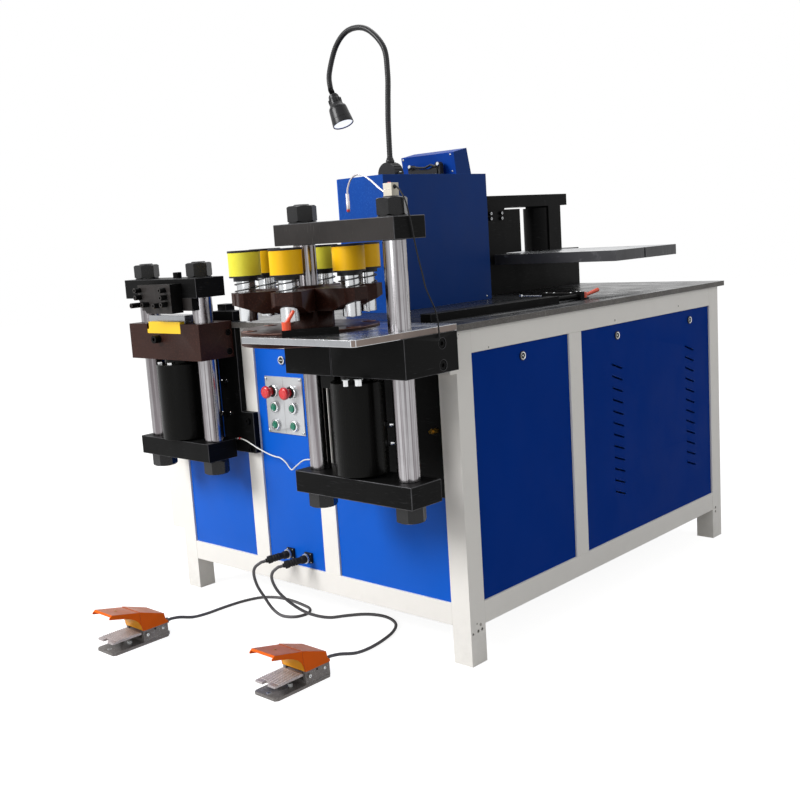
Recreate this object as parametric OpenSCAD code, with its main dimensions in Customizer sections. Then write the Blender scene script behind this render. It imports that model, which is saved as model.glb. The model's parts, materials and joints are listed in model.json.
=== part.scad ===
// Busbar machine with shear, turret punch and bender stations on one cabinet. Millimetres, Z up.
// The origin is the centre of the cabinet footprint on the floor. The operator stands at -Y.

/* [Cabinet] */
// Width of the tube frame
cab_w = 1200; // [1180:5:1260]
// Depth of the tube frame
cab_d = 1380; // [1375:5:1450]
// Height of the tube frame
cab_h = 860; // [840:5:900]
// Side of the square frame tube
tube = 60; // [56:1:64]
// Wall of the frame tube
tube_wall = 3; // [2:0.5:5]
// Clear height below the lower rails
rail_low = 100; // [90:5:120]
// Thickness of the table plate
table_t = 16; // [14:1:20]
// Overhang of the table plate at the sides
table_over = 10; // [4:1:16]
// Thickness of the cover panels
panel_t = 3; // [2:0.5:4]
// Number of louvre slots in each row
louvre_n = 12; // [6:1:13]

/* [Punch station] */
// Half of the distance between the two columns
punch_half = 152; // [150:1:156]
// Radius of the columns
punch_col_r = 27.5; // [26:0.5:30]
// Radius of the cylinder barrel
punch_cyl_r = 66; // [62:1:70]
// Working stroke
punch_stroke = 20; // [15:1:20]
// Radius of the yellow pads
pad_r = 40; // [36:0.5:42]
// Height of the yellow pads
pad_h = 56; // [40:1:58]
// Thickness of the ground front plate
plate_t = 16; // [12:1:18]

/* [Shear station] */
// Half of the distance between the two columns
shear_half = 131; // [128:1:133]
// Radius of the columns
shear_col_r = 30; // [27:0.5:30]
// Radius of the cylinder barrel
shear_cyl_r = 73; // [68:1:76]
// Working stroke
shear_stroke = 25; // [20:1:27]

/* [Bender] */
// Width of the gap between ram and die
bend_gap = 104; // [98:1:108]
// Height of the top bar above the bender plate
bend_clear = 156; // [155:1:175]

/* [Controls] */
// Width of the electric box
ebox_w = 188; // [180:2:200]
// Depth of the electric box
ebox_d = 476; // [450:2:480]
// Height of the electric box
ebox_h = 395; // [380:5:410]
// Radius of the flexible lamp arm
arm_r = 8.5; // [7:0.5:10]
// Length of a foot switch
pedal_l = 197; // [192:1:204]
// Width of a foot switch
pedal_w = 90; // [86:1:96]

/* [Hidden] */

$fn = 48;
run = 0.05;
nut_r = 37.5;
xr = cab_w / 2;
xl = -cab_w / 2;
yf = -cab_d / 2;
yb = cab_d / 2;
h = cab_h;
zt = cab_h + table_t;
z1 = rail_low + tube;
z2 = h - tube;
foot_t = 8;
mul_1 = xl + 370;
bay_w = 302;
mul_2 = mul_1 + bay_w;
smul = yf + 490;
lock_y1 = yf + 276;
lock_y2 = smul + 255;
lock_y3 = yb - 192;
blk_y = -26;
p_x = xr - 169;
p_y = yf - 175;
c1_x = p_x - punch_half;
c2_x = p_x + punch_half;
disc_r = 173.5;
disc_z = h - 7;
disc_top = h + 28;
star_z = h + 124;
beam_z = h + 230;
low_z = h - 335;
tool_top = beam_z - 4;
pad_z = tool_top - 5 - pad_h;
s_x = xl + 190;
s_y = yf - 91;
s_c = s_x + 8;
sb_z = h + 97;
sl_z = h - 328;
cp_x = mul_1 + 179.5;
lk_x = mul_1 + 180;
sk_1 = mul_1 + 155;
sk_2 = mul_1 + 232;
cp_z = h - 224;
e_x1 = xr - 469;
e_x0 = e_x1 - ebox_w;
b_y = yb - 480;
e_y1 = b_y - 145;
e_y0 = e_y1 - ebox_d;
e_z = zt + ebox_h;
la_x = e_x1 - 56;
la_y = e_y0 + 96;
b_z = zt + 133;
b_x = xr - 612;
b_die = yb - 207;
bay_z = h - 424;
b_bar = b_z + bend_clear;
r_x = xr - 131;
r_y = yf + 46;
rail_turn = -3.4;
pd_y1 = yf - 500;
pd_y2 = yf - 430;
pd_x1 = xl + 290;
pd_x2 = xr - 309;

module box(x0, x1, y0, y1, z0, z1) {
  translate([x0, y0, z0]) cube([x1 - x0, y1 - y0, z1 - z0]);
}
module rod_z(x, y, r, z0, z1) {
  translate([x, y, z0]) cylinder(r = r, h = z1 - z0);
}
module rod_y(x, z, r, y0, y1) {
  translate([x, y1, z]) rotate([90, 0, 0]) cylinder(r = r, h = y1 - y0);
}
module rod_x(y, z, r, x0, x1) {
  translate([x0, y, z]) rotate([0, 90, 0]) cylinder(r = r, h = x1 - x0);
}
// square tube along Z, Y or X with open ends
module tube_z(x, y, z0, z1) {
  difference() {
    box(x, x + tube, y, y + tube, z0, z1);
    box(x + tube_wall, x + tube - tube_wall, y + tube_wall, y + tube - tube_wall, z0 - 1, z1 + 1);
  }
}
module tube_y(x, z, y0, y1) {
  difference() {
    box(x, x + tube, y0, y1, z, z + tube);
    box(x + tube_wall, x + tube - tube_wall, y0 - 1, y1 + 1, z + tube_wall, z + tube - tube_wall);
  }
}
module tube_x(y, z, x0, x1) {
  difference() {
    box(x0, x1, y, y + tube, z, z + tube);
    box(x0 - 1, x1 + 1, y + tube_wall, y + tube - tube_wall, z + tube_wall, z + tube - tube_wall);
  }
}
// round sweep along a smooth line through the given points
function unit(v) = v / norm(v);
function cat(a, b, c, d, t) = 0.5 * ((2 * b) + (c - a) * t + (2 * a - 5 * b + 4 * c - d) * t * t
  + (3 * b - a - 3 * c + d) * t * t * t);
function at(p, i) = i < 0 ? 2 * p[0] - p[1] : i >= len(p) ? 2 * p[len(p) - 1] - p[len(p) - 2] : p[i];
function smooth(p, n) = concat(
  [for (i = [0:len(p) - 2]) for (k = [0:n - 1]) cat(at(p, i - 1), p[i], p[i + 1], at(p, i + 2), k / n)],
  [p[len(p) - 1]]);
function tan_at(p, i) = i == 0 ? unit(p[1] - p[0])
  : i == len(p) - 1 ? unit(p[i] - p[i - 1]) : unit(p[i + 1] - p[i - 1]);
function side_of(n, t) = unit(n - (n * t) * t);
function sides(p, n0) = [for (i = 0, n = side_of(n0, tan_at(p, 0)); i < len(p);
  i = i + 1, n = i < len(p) ? side_of(n, tan_at(p, i)) : n) n];
function rings(p, r, k, n0) = let (s = sides(p, n0)) [for (i = [0:len(p) - 1])
  let (t = tan_at(p, i), a = s[i], b = cross(t, a))
  for (j = [0:k - 1]) p[i] + r * (cos(360 * j / k) * a + sin(360 * j / k) * b)];
function skins(m, k) = concat(
  [[for (j = [0:k - 1]) j]],
  [for (i = [0:m - 2]) for (j = [0:k - 1])
    [i * k + j, (i + 1) * k + j, (i + 1) * k + (j + 1) % k, i * k + (j + 1) % k]],
  [[for (j = [k - 1:-1:0]) (m - 1) * k + j]]);
module sweep(p, r, k, n0) {
  polyhedron(points = rings(p, r, k, n0), faces = skins(len(p), k), convexity = 8);
}

// wound spring form
spring_r = 27.5;
wire_r = 1.5;
spring_turns = 1.5;
spring_h = pad_z - 13 - star_z;
spring_pitch = (spring_h - 2 * wire_r - 0.4) / spring_turns;
echo("least gap of the spring to itself", spring_pitch - 2 * wire_r);
spring_line = [for (i = [0:36]) [spring_r * cos(360 * spring_turns * i / 36 - 60),
  spring_r * sin(360 * spring_turns * i / 36 - 60),
  star_z + wire_r + 0.2 + (spring_h - 2 * wire_r - 0.4) * i / 36]];

// lamp arm, cords and leads
arm_pts = [[la_x, la_y, e_z + 45], [la_x + 2, la_y, e_z + 147], [la_x + 7, la_y, e_z + 218],
  [la_x + 12, la_y, e_z + 290], [la_x + 2, la_y, e_z + 366], [la_x - 61, la_y, e_z + 426],
  [la_x - 135, la_y, e_z + 435], [la_x - 192, la_y, e_z + 398], [la_x - 229, la_y, e_z + 324],
  [la_x - 228.5, la_y, e_z + 279.5], [la_x - 224.75, la_y, e_z + 270.3], [la_x - 221, la_y, e_z + 261]];
cord_r = 4.5;
sock_1 = [sk_1, yf - 10, 194];
sock_2 = [sk_2, yf - 10, 192];
plug_1 = [sk_1 - 25, yf - 75, 186];
plug_2 = [sk_2 - 27, yf - 75, 184];
plug_dir = unit([-16, -23, -6]);
gland = pedal_l + 14;
cord_1 = [plug_1 + 0.1 * plug_dir, plug_1 + 8 * plug_dir, plug_1 + 16 * plug_dir,
  [-128, yf - 96, 166], [-147, yf - 86, 136], [-152, yf - 72, 98], [-150, yf - 52, 60],
  [-140, yf - 36, 24], [-115, yf - 32, 8], [-85, yf - 32, 6], [-54, yf - 14, 6], [-46, yf + 24, 6],
  [-72, yf + 54, 6], [-120, yf + 66, 6], [-180, yf + 72, 6], [-235, yf + 66, 6], [-278, yf + 38, 6],
  [-300, yf - 14, 6], [-308, yf - 80, 6], [-310, yf - 150, 6], [-310, yf - 200, 11],
  [-310, yf - 245, 25], [pd_x1, pd_y1 + gland + 16, 30], [pd_x1, pd_y1 + gland + 8, 30],
  [pd_x1, pd_y1 + gland + 0.1, 30]];
cord_2 = [plug_2 + 0.1 * plug_dir, plug_2 + 8 * plug_dir, plug_2 + 16 * plug_dir,
  [-53, yf - 94, 162], [-68, yf - 82, 130], [-66, yf - 60, 88], [-42, yf - 24, 42], [-8, yf + 2, 18],
  [32, yf + 34, 6], [66, yf + 74, 6], [104, yf + 112, 6], [150, yf + 130, 6], [196, yf + 126, 6],
  [238, yf + 102, 6], [268, yf + 58, 6], [286, yf + 4, 6], [296, yf - 60, 6], [295, yf - 115, 9],
  [292, yf - 170, 24], [pd_x2, pd_y2 + gland + 16, 30], [pd_x2, pd_y2 + gland + 8, 30],
  [pd_x2, pd_y2 + gland + 0.1, 30]];
white_lead = [[-254, yf - 24, 528], [-244, yf - 24.5, 529.5], [-233, yf - 25, 529.5],
  [-210, yf - 25, 526], [-184, yf - 24.5, 517], [-157, yf - 24, 507], [-130, yf - 22, 498],
  [-107, yf - 20, 491], [-84, yf - 19, 487], [-65, yf - 18, 485], [-42, yf - 18, 474],
  [-20, yf - 18, 455], [2, yf - 18, 468], [32, yf - 16, 487], [58, yf - 12, 491], [84, yf - 5, 489]];
sensor_lead = [[c2_x + 13.6, p_y - 2, beam_z + 118], [c2_x + 18, p_y - 2, beam_z + 118],
  [c2_x + 23, p_y - 3, beam_z + 115.5], [c2_x + 32, p_y - 4, beam_z + 107],
  [c2_x + 43, p_y - 6, beam_z + 93], [c2_x + 51, p_y - 7, beam_z + 76], [c2_x + 54.5, p_y - 5, beam_z + 55],
  [c2_x + 55, p_y + 1, beam_z + 30], [c2_x + 55, p_y + 9, beam_z - 10], [c2_x + 54.5, p_y + 19, beam_z - 49],
  [c2_x + 54, p_y + 30, beam_z - 85], [c2_x + 53.5, p_y + 38, beam_z - 113], [c2_x + 53, p_y + 54, h + 88],
  [c2_x + 52, p_y + 68, h + 64], [xr + 34, p_y + 76, h + 40], [xr + 33.5, p_y + 79, h + 16],
  [xr + 33, p_y + 80, h - 6]];
feeler = [[c2_x - 12.5, p_y + 5, h + 331], [c2_x - 38, p_y + 5, h + 346], [c2_x - 66, p_y + 5, h + 367],
  [c2_x - 92, p_y + 5, h + 382], [c2_x - 114, p_y + 5, h + 384], [c2_x - 132, p_y + 5, h + 374],
  [c2_x - 143, p_y + 5, h + 356], [c2_x - 146, p_y + 5, h + 340]];

module turret_pocket(z0) {
  rod_z(c1_x, p_y, disc_r + 1.3, z0, h + 60, $fn = 96);
}

module frame_uprights() {
  color("#E9E9E4") {
    difference() {
      union() {
        for (x = [xl, xr - tube]) for (y = [yf, yb - tube]) tube_z(x, y, foot_t, h);
      }
      translate([xr - tube_wall - 1, 0, 0]) {
        rod_x(yf + 9, 86, 3.5, 0, 10);
        rod_x(yf + 30, 88, 4.5, 0, 10);
        rod_x(yf + 46, 89, 4.5, 0, 10);
        rod_x(yb - 40, 104, 4.5, 0, 10);
        rod_x(yb - 40, 90, 4.5, 0, 10);
      }
    }
    tube_z(mul_1, yf, z1, z2);
    tube_z(mul_2, yf, z1, z2);
    tube_z(xl, smul, z1, z2);
    tube_z(xr - tube, smul, z1, z2);
    tube_z(-tube / 2, yb - tube, z1, z2);
  }
}
module frame_rails() {
  color("#E9E9E4") {
    for (z = [rail_low, z2]) {
      tube_x(yf, z, xl + tube, xr - tube);
      tube_x(yb - tube, z, xl + tube, xr - tube);
      tube_y(xl, z, yf + tube, yb - tube);
      tube_y(xr - tube, z, yf + tube, yb - tube);
    }
  }
}
module frame_fittings() {
  color("#E9E9E4") {
    for (x = [xl, xr - tube]) for (y = [yf, yb - tube]) difference() {
      box(x, x + tube, y, y + tube, 0, foot_t);
      rod_z(x + tube / 2, y + tube / 2, 6.5, -1, foot_t + 1);
    }
    tube_z(xl - tube, yf, 193, h);
    difference() {
      box(p_x - 213, xr, yf + blk_y, yf, h - 103, h);
      turret_pocket(disc_z - 1);
      box(xr - 12, xr + 1, yf - 18, yf - 14, h - 52, h - 24);
      rod_x(yf - 8, h - 30, 3, xr - 12, xr + 1);
    }
    // keepers that the panel locks turn behind
    for (y = [lock_y1, lock_y2, lock_y3]) box(xr - 20, xr - 17, y - 20, y + 20, z2 - 22, z2);
    // floor pan
    difference() {
      box(xl + tube + 10, xr - tube - 10, yf + 40, yb - 40, z1, z1 + 3);
      box(mul_1 - 1, mul_1 + tube + 1, yf, yf + tube + 1, z1 - 1, z1 + 4);
      box(mul_2 - 1, mul_2 + tube + 1, yf, yf + tube + 1, z1 - 1, z1 + 4);
      box(-tube / 2 - 1, tube / 2 + 1, yb - tube - 1, yb, z1 - 1, z1 + 4);
    }
  }
}
module table_top() {
  color("#3E4145") difference() {
    box(xl - table_over, xr + table_over, yf - 20, yb + 30, h, zt);
    turret_pocket(h - 1);
    rod_z(xr - 60, yf + 12, 5, zt - 8, zt + 1);
    rod_z(xr - 60, yf + 34, 5, zt - 8, zt + 1);
  }
}
module sheet_x(x0, x1, y, s) {
  box(x0 + 1.5, x1 - 1.5, min(y, y - s * panel_t), max(y, y - s * panel_t), z1, z2 - 1.5);
}
module sheet_y(y0, y1, x, s) {
  box(min(x, x - s * panel_t), max(x, x - s * panel_t), y0 + 1.5, y1 - 1.5, z1, z2 - 1.5);
}
module fixed_panels() {
  color("#1A62C8") {
    sheet_x(xl + tube, mul_1, yf + 5, -1);
    difference() {
      sheet_x(mul_1 + tube, mul_2, yf + 5, -1);
      rod_y(lk_x, h - 93, 9.3, yf, yf + 20);
      rod_y(sk_1, 194, 13, yf, yf + 20);
      rod_y(sk_2, 192, 13, yf, yf + 20);
      for (x = [-40.5, 37.5]) for (z = [41, -6, -57]) rod_y(cp_x + x, cp_z + z, 12.2, yf, yf + 20);
    }
    box(mul_2 + tube + 1.5, xr - tube - 1.5, yf + 5, yf + 5 + panel_t, z1, bay_z - 1.5);
    sheet_y(yf + tube, smul, xl + 5, -1);
    sheet_y(smul + tube, yb - tube, xl + 5, -1);
    sheet_x(xl + tube, -tube / 2, yb - 5, 1);
    sheet_x(tube / 2, xr - tube, yb - 5, 1);
  }
}
module inner_units() {
  color("#5B6066") {
    // oil tank with lid and filler
    box(-420, 80, -100, 460, z1 + 3, z1 + 360);
    box(-430, 90, -110, 470, z1 + 360, z1 + 366);
    rod_z(20, 400, 30, z1 + 366, z1 + 396);
    // pump motor
    rod_z(-300, 180, 70, z1 + 366, z1 + 380);
    rod_z(-300, 180, 88, z1 + 380, z1 + 560);
    rod_z(-300, 180, 76, z1 + 560, z1 + 590);
    box(-400, -380, 150, 210, z1 + 430, z1 + 510);
    // valve manifold with solenoids
    box(-140, 20, 120, 240, z1 + 366, z1 + 446);
    for (x = [-110, -60, -10]) {
      box(x - 20, x + 20, 140, 220, z1 + 446, z1 + 486);
      rod_y(x, z1 + 466, 15, 80, 140);
      rod_y(x, z1 + 466, 15, 220, 280);
    }
    // switching gear on the wall of the electric box
    box(e_x1 - 6, e_x1 - 3, e_y0 + 60, e_y1 - 60, zt + 60, e_z - 60);
    for (y = [e_y0 + 90, e_y0 + 180, e_y0 + 270]) box(e_x1 - 66, e_x1 - 6, y, y + 60, zt + 210, zt + 290);
    box(e_x1 - 56, e_x1 - 6, e_y0 + 90, e_y0 + 330, zt + 90, zt + 150);
  }
}
module punch_block() {
  // plate that closes the bay behind the cylinder
  color("#1B1B1D") box(mul_2 + tube, xr - tube, yf + 5, yf + 17, bay_z, z2);
  color("#1B1B1D") difference() {
    box(p_x - 213, xr + 30, p_y - 40, yf + blk_y, h - 88, h + 6);
    turret_pocket(disc_z);
    rod_z(c1_x, p_y, punch_col_r + run, h - 100, h + 20);
    rod_z(c2_x, p_y, punch_col_r + run, h - 100, h + 20);
    rod_z(p_x, p_y, 12, h - 45, h);
    for (z = [h - 18, h - 70]) rod_x(yf - 82, z, 13, xr + 20, xr + 31);
    for (z = [h - 24, h - 70]) rod_x(yf - 82, z, 13, p_x - 214, p_x - 203);
    box(p_x - 47, p_x - 44, p_y - 41, p_y - 37, h - 89, h + 7);
  }
}
module punch_plate() {
  color("#A9ABAD") difference() {
    translate([0, 0, h + 6]) linear_extrude(plate_t) polygon([[p_x - 186, yf - 370], [xr + 17, yf - 370],
      [xr + 25, yf - 362], [xr + 25, yf - 20], [p_x - 186, yf - 20]]);
    turret_pocket(h);
    rod_z(c2_x, p_y, punch_col_r + 0.4, h, h + 60);
  }
}
module barrel(x, y, r, z0, z1, rod_r) {
  difference() {
    union() {
      rod_z(x, y, r, z0, z1 - 14, $fn = 72);
      rod_z(x, y, r - 26, z1 - 14, z1, $fn = 72);
    }
    rod_z(x, y, rod_r + run, z0 - 1, z0 + 19);
    rod_z(x, y, r - 22, z0 + 18, z1 - 30, $fn = 72);
  }
}
module cylinder_barrels() {
  color("#141416") {
    barrel(p_x, p_y, punch_cyl_r, low_z + 5, h - 88, 30);
    box(p_x - 106, p_x - punch_cyl_r + 10, p_y - 22, p_y + 22, h - 123, h - 88);
    barrel(s_c, s_y, shear_cyl_r, sl_z + 3, h - 85, 32);
  }
}
module shear_block() {
  color("#4A2E25") difference() {
    box(s_x - 171, s_x + 177, yf - 140, yf - 20, h - 85, h + 21);
    for (i = [-1, 1]) rod_z(s_c + i * shear_half, s_y, shear_col_r + run, h - 90, h + 30);
    box(s_x - 78, s_x + 90, yf - 141, yf - 123, h - 7, h + 22);
    for (z = [h - 12, h - 68]) {
      rod_x(yf - 34, z, 11, s_x + 167, s_x + 178);
      rod_x(yf - 34, z, 11, s_x - 172, s_x - 161);
    }
  }
}
module shear_lower_tools() {
  color("#F2C21A") {
    translate([0, yf - 123.5, 0]) rotate([90, 0, 0]) linear_extrude(16.5) polygon([[s_x - 77, h - 7],
      [s_x + 89, h - 7], [s_x + 89, h + 28], [s_x - 68, h + 28], [s_x - 68, h + 6], [s_x - 77, h + 6]]);
  }
  color("#B5B7B9") box(s_x - 90, s_x + 90, yf - 122, yf - 70, h + 21, h + 45);
}
module shear_back_plate() {
  color("#1B1B1D") {
    difference() {
      union() {
        box(s_x - 170, s_x + 189, yf - 20, yf, h - 250, h);
        box(s_x - 170, s_x + 240, yf - 20, yf, h - 372, h - 250);
      }
      box(s_x - 98, s_x + 98, yf - 21, yf + 1, h - 373, h - 85);
    }
    box(s_x + 60, s_x + 160, yf, yf + 50, zt, zt + 30);
    box(s_x + 80, s_x + 120, yf + 8, yf + 42, zt + 30, zt + 50);
  }
}
// socket head screw along -Y from a face at y
module cap_y(x, z, r, y, l) {
  difference() {
    rod_y(x, z, r, y - l, y, $fn = 24);
    rod_y(x, z, r * 0.5, y - l - 1, y - l + min(6, l / 2), $fn = 6);
  }
}
module cap_x(y, z, r, x, l) {
  difference() {
    rod_x(y, z, r, min(x, x + l), max(x, x + l), $fn = 24);
    rod_x(y, z, r * 0.5, x + l - 4, x + l + 4, $fn = 6);
  }
}
module fixings() {
  color("#2A2A2C") {
    for (z = [h - 18, h - 70]) cap_x(yf - 82, z, 12, xr + 20, 8);
    for (z = [h - 24, h - 70]) cap_x(yf - 82, z, 12, p_x - 203, -8);
    // stop bar on the punch plate, with the pin of the orange lever
    translate([p_x - 47, yf - 361, h + 6 + plate_t]) rotate([0, 0, 47]) {
      box(0, 132, 0, 22, 0, 16);
      rod_z(11, 11, 4, 15, 27, $fn = 32);
    }
    for (z = [h - 12, h - 68]) {
      cap_x(yf - 34, z, 10, s_x + 167, 8);
      cap_x(yf - 34, z, 10, s_x - 161, -8);
    }
    cap_y(s_x - 21, h - 23, 12, yf - 140, 20);
    cap_y(s_x + 119, h - 167, 9, yf - 20, 7);
    cap_y(s_x + 113, h - 262, 9, yf - 20, 7);
    cap_y(s_x + 218, h - 276, 9, yf - 20, 7);
    cap_y(s_x + 218, h - 361, 8, yf - 20, 7);
  }
  color("#C9CBCD") {
    // two screws under the punch block, beside the barrel
    for (a = [[-64, 6.5], [-42, 9]])
      rod_z(p_x + (punch_cyl_r + 14) * cos(a[0]), p_y + (punch_cyl_r + 14) * sin(a[0]), a[1], h - 104,
        h - 88, $fn = 6);
    for (x = [-73, 73]) for (z = [-76, 76]) rod_y(cp_x + x, cp_z + z, 3, yf - 1, yf + 2, $fn = 24);
  }
}
module panel_fittings() {
  color("#C5C8CA") difference() {
    box(cp_x - 79.5, cp_x + 79.5, yf + 2, yf + 5, cp_z - 83, cp_z + 83);
    for (x = [-40.5, 37.5]) for (z = [41, -6, -57]) rod_y(cp_x + x, cp_z + z, 12.2, yf, yf + 20);
  }
  color("#1B1B1D") {
    for (x = [-40.5, 37.5]) {
      difference() {
        rod_y(cp_x + x, cp_z + 41, 16, yf - 10, yf + 2);
        rod_y(cp_x + x, cp_z + 41, 11 + run, yf - 11, yf + 3);
      }
      for (z = [-6, -57]) difference() {
        rod_y(cp_x + x, cp_z + z, 15, yf - 4, yf + 2);
        rod_y(cp_x + x, cp_z + z, 10.5 + run, yf - 5, yf + 3);
      }
    }
    for (p = [[sk_1, 194], [sk_2, 192]]) {
      box(p[0] - 15, p[0] + 15, yf + 1, yf + 5, p[1] - 15, p[1] + 15);
      rod_y(p[0], p[1], 12, yf - 10, yf + 30);
    }
  }
  color("#3A3A3C") {
    rod_y(lk_x, h - 93, 12, yf + 1, yf + 5);
    rod_y(lk_x, h - 93, 9, yf + 5, yf + 22);
    box(lk_x - 8, lk_x + 26, yf + 22, yf + 25, h - 101, h - 85);
  }
}
module electric_box() {
  color("#1A62C8") difference() {
    union() {
      box(e_x0 + panel_t, e_x1, e_y0, e_y1, zt, e_z);
      for (z = [zt + 60, e_z - 110]) rod_z(e_x0, e_y1 + 5, 4.5, z, z + 24);
      for (z = [zt + 60, e_z - 110]) box(e_x0, e_x0 + 5, e_y1 - 1, e_y1 + 5, z, z + 24);
    }
    box(e_x0, e_x1 - 3, e_y0 + 3, e_y1 - 3, zt + 3, e_z - 3);
    box(e_x0 - 8, e_x0 + panel_t, e_y0, e_y1, zt, e_z + 1);
    rod_x(e_y1 - 24, zt + 10, 3, e_x1 - 10, e_x1 + 1);
  }
}
module electric_door() {
  color("#1A62C8") {
    box(e_x0, e_x0 + panel_t, e_y0, e_y1 - 1, zt + 4, e_z - 1);
    for (z = [zt + 84.3, e_z - 85.7]) {
      rod_z(e_x0, e_y1 + 5, 4.5, z, z + 24);
      box(e_x0, e_x0 + panel_t, e_y1 - 2, e_y1 + 5, z, z + 24);
    }
    rod_x(e_y0 + 30, zt + 200, 11, e_x0 - 5, e_x0 + 1);
  }
}
module box_fittings() {
  color("#1A62C8") translate([e_x1 - 217, 0, 0]) rotate([90, 0, 90]) linear_extrude(217)
    polygon([[e_y1 - 154, e_z + 66], [e_y1 - 90, e_z + 79], [e_y1 - 73, e_z], [e_y1 - 145, e_z]]);
  color("#1B1B1D") {
    // saddle clip in front of the console
    translate([e_x1 - 102, e_y1 - 163, e_z]) rotate([90, 0, 0]) linear_extrude(16) polygon([[-66, 0],
      [66, 0], [66, 34], [60, 40], [50, 40], [42, 30], [20, 22], [-20, 22], [-42, 28], [-52, 38],
      [-62, 38], [-66, 32]]);
    // lamp foot
    difference() {
      union() {
        intersection() {
          rod_y(la_x, e_z + 4, 34, la_y - 19, la_y + 19, $fn = 60);
          box(la_x - 40, la_x + 40, la_y - 20, la_y + 20, e_z, e_z + 40);
        }
        for (i = [-1, 1]) rod_z(la_x + i * 38, la_y, 10, e_z, e_z + 7, $fn = 24);
      }
      rod_z(la_x, la_y, 8 + run, e_z + 8, e_z + 50);
    }
  }
  color("#C9CBCD") box(e_x1 - 154, e_x1 - 46, e_y1 - 183, e_y1 - 179, e_z, e_z + 20);
}
module lamp_arm() {
  color("#161618") {
    rod_z(la_x, la_y, 8, e_z + 8, e_z + 41);
    rod_z(la_x, la_y, 13, e_z + 38.3, e_z + 46);
    sweep(smooth(arm_pts, 7), arm_r, 12, [0, 1, 0]);
  }
}
module lamp_head() {
  color("#161618") translate([la_x - 221, la_y, e_z + 261])
    rotate([0, 180 - atan2(38, 94), 0]) {
      translate([0, 0, 0.3]) cylinder(r = 13, h = 16);
      translate([0, 0, 16]) cylinder(r1 = 17, r2 = 22, h = 26);
      difference() {
        translate([0, 0, 42]) cylinder(r1 = 24, r2 = 33, h = 59);
        translate([0, 0, 93]) cylinder(r = 29, h = 10);
      }
    }
}
module bend_frame() {
  color("#1B1B1D") {
    box(b_x - 158, b_x + 50, b_y - 100, b_y + 510, zt, zt + 100);
    box(b_x - 50, b_x + 50, b_y - 100, b_y, zt + 100, b_z);
    box(b_x - 50, b_x + 50, b_y + 377, b_y + 510, zt + 100, b_z);
    difference() {
      union() {
        box(b_x - 50, b_x + 50, b_y - 92, b_y + 68, b_z, b_bar);
        box(b_x - 50, b_x + 50, b_die + 53, b_die + 128, b_z, b_bar);
        box(b_x - 50, b_x + 50, b_y - 92, b_die + 169, b_bar, b_bar + 40);
        rod_y(b_x, b_z + 75, 48, b_y - 136, b_y - 91, $fn = 60);
      }
      box(b_x - 40 - run, b_x + 40 + run, b_y - 60, b_y + 69, b_z, b_z + 150 + run);
      rod_y(b_x, b_z + 75, 25 + run, b_y - 93, b_y - 59);
      rod_y(b_x, b_z + 75, 36, b_y - 130, b_y - 92);
    }
    rod_z(b_x, b_die + 45, 45, b_z, b_z + 150, $fn = 60);
    for (p = [[-14, 138], [45, 121]]) for (i = [0, 1])
      cap_x(b_y + (i ? p[0] : 31 - p[0]), b_z + p[1], 7, b_x + 50, 7);
  }
}
module bend_plate() {
  color("#A9ABAD") difference() {
    box(xr - 850, xr - 93, b_y, b_y + 377, zt + 100, b_z);
    box(xr - 99, xr - 92, b_y + 171, b_y + 178, zt + 99, b_z + 1);
    for (y = [b_y + 40, b_y + 310]) rod_z(xr - 240, y, 9, b_z - 9, b_z + 1);
  }
}
module bend_ram() {
  color("#242426") {
    box(b_x - 40, b_x + 40, b_y + 5, b_die - bend_gap, b_z + 3, b_z + 150);
    rod_y(b_x, b_z + 75, 25, b_y - 98, b_y + 6);
  }
}
module guide_rail() {
  color("#1B1B1D") translate([r_x, r_y, 0]) rotate([0, 0, rail_turn]) difference() {
    box(-19, 19, 0, 524, zt, zt + 21);
    rod_y(0, zt + 11, 7 + run, 220, 525);
    rod_z(0, 40, 6, zt + 12, zt + 22);
    rod_z(0, 480, 6, zt + 19, zt + 22);
  }
}
module gauge_rod() {
  color("#2A2A2C") translate([r_x, r_y, 0]) rotate([0, 0, rail_turn]) {
    rod_y(0, zt + 11, 7, 260, 640);
    box(-14, 14, 634, 651, zt + 1, zt + 24);
    box(-14, 14, 650, 673, zt + 1, zt + 5);
  }
}
module gauge_lever() {
  color("#E8451C") translate([r_x, r_y, 0]) rotate([0, 0, rail_turn]) {
    rod_z(0, 664, 10.5, zt + 5, zt + 21);
    translate([0, 668, zt + 10]) rotate([-80, 0, 0]) {
      cylinder(r1 = 4.6, r2 = 6, h = 68);
      translate([0, 0, 68]) sphere(r = 6, $fn = 32);
    }
  }
}
module pedal_base(x, y) {
  translate([x, y, 0]) {
    color("#8C8F93") difference() {
      union() {
        linear_extrude(8) polygon([[-pedal_w / 2 + 8, 0], [pedal_w / 2 - 8, 0], [pedal_w / 2 - 2, 8],
          [pedal_w / 2 - 2, pedal_l - 16], [pedal_w / 2 - 18, pedal_l], [-pedal_w / 2 + 18, pedal_l],
          [-pedal_w / 2 + 2, pedal_l - 16], [-pedal_w / 2 + 2, 8]]);
        difference() {
          box(-pedal_w / 2 + 3, pedal_w / 2 - 3, 100, pedal_l - 14, 7, 42);
          box(-32, 32, 99, 126, 18, 43);
        }
        rod_x(112, 28, 3.95, -35, 35, $fn = 32);
        for (i = [-1, 1]) rod_z(i * 22, 66, 5, 7, 19, $fn = 24);
        for (i = [-1, 1]) rod_x(112, 28, 6, i * (pedal_w / 2 - 1) - 2, i * (pedal_w / 2 - 1) + 2, $fn = 24);
      }
      rod_z(0, 14, 4, -1, 9, $fn = 32);
    }
    color("#1B1B1D") {
      rod_y(0, 30, 12, pedal_l - 15, pedal_l - 4, $fn = 6);
      rod_y(0, 30, 8.5, pedal_l - 5, gland, $fn = 24);
    }
  }
}
module pedal_bases() {
  pedal_base(pd_x1, pd_y1);
  pedal_base(pd_x2, pd_y2);
}
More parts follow.
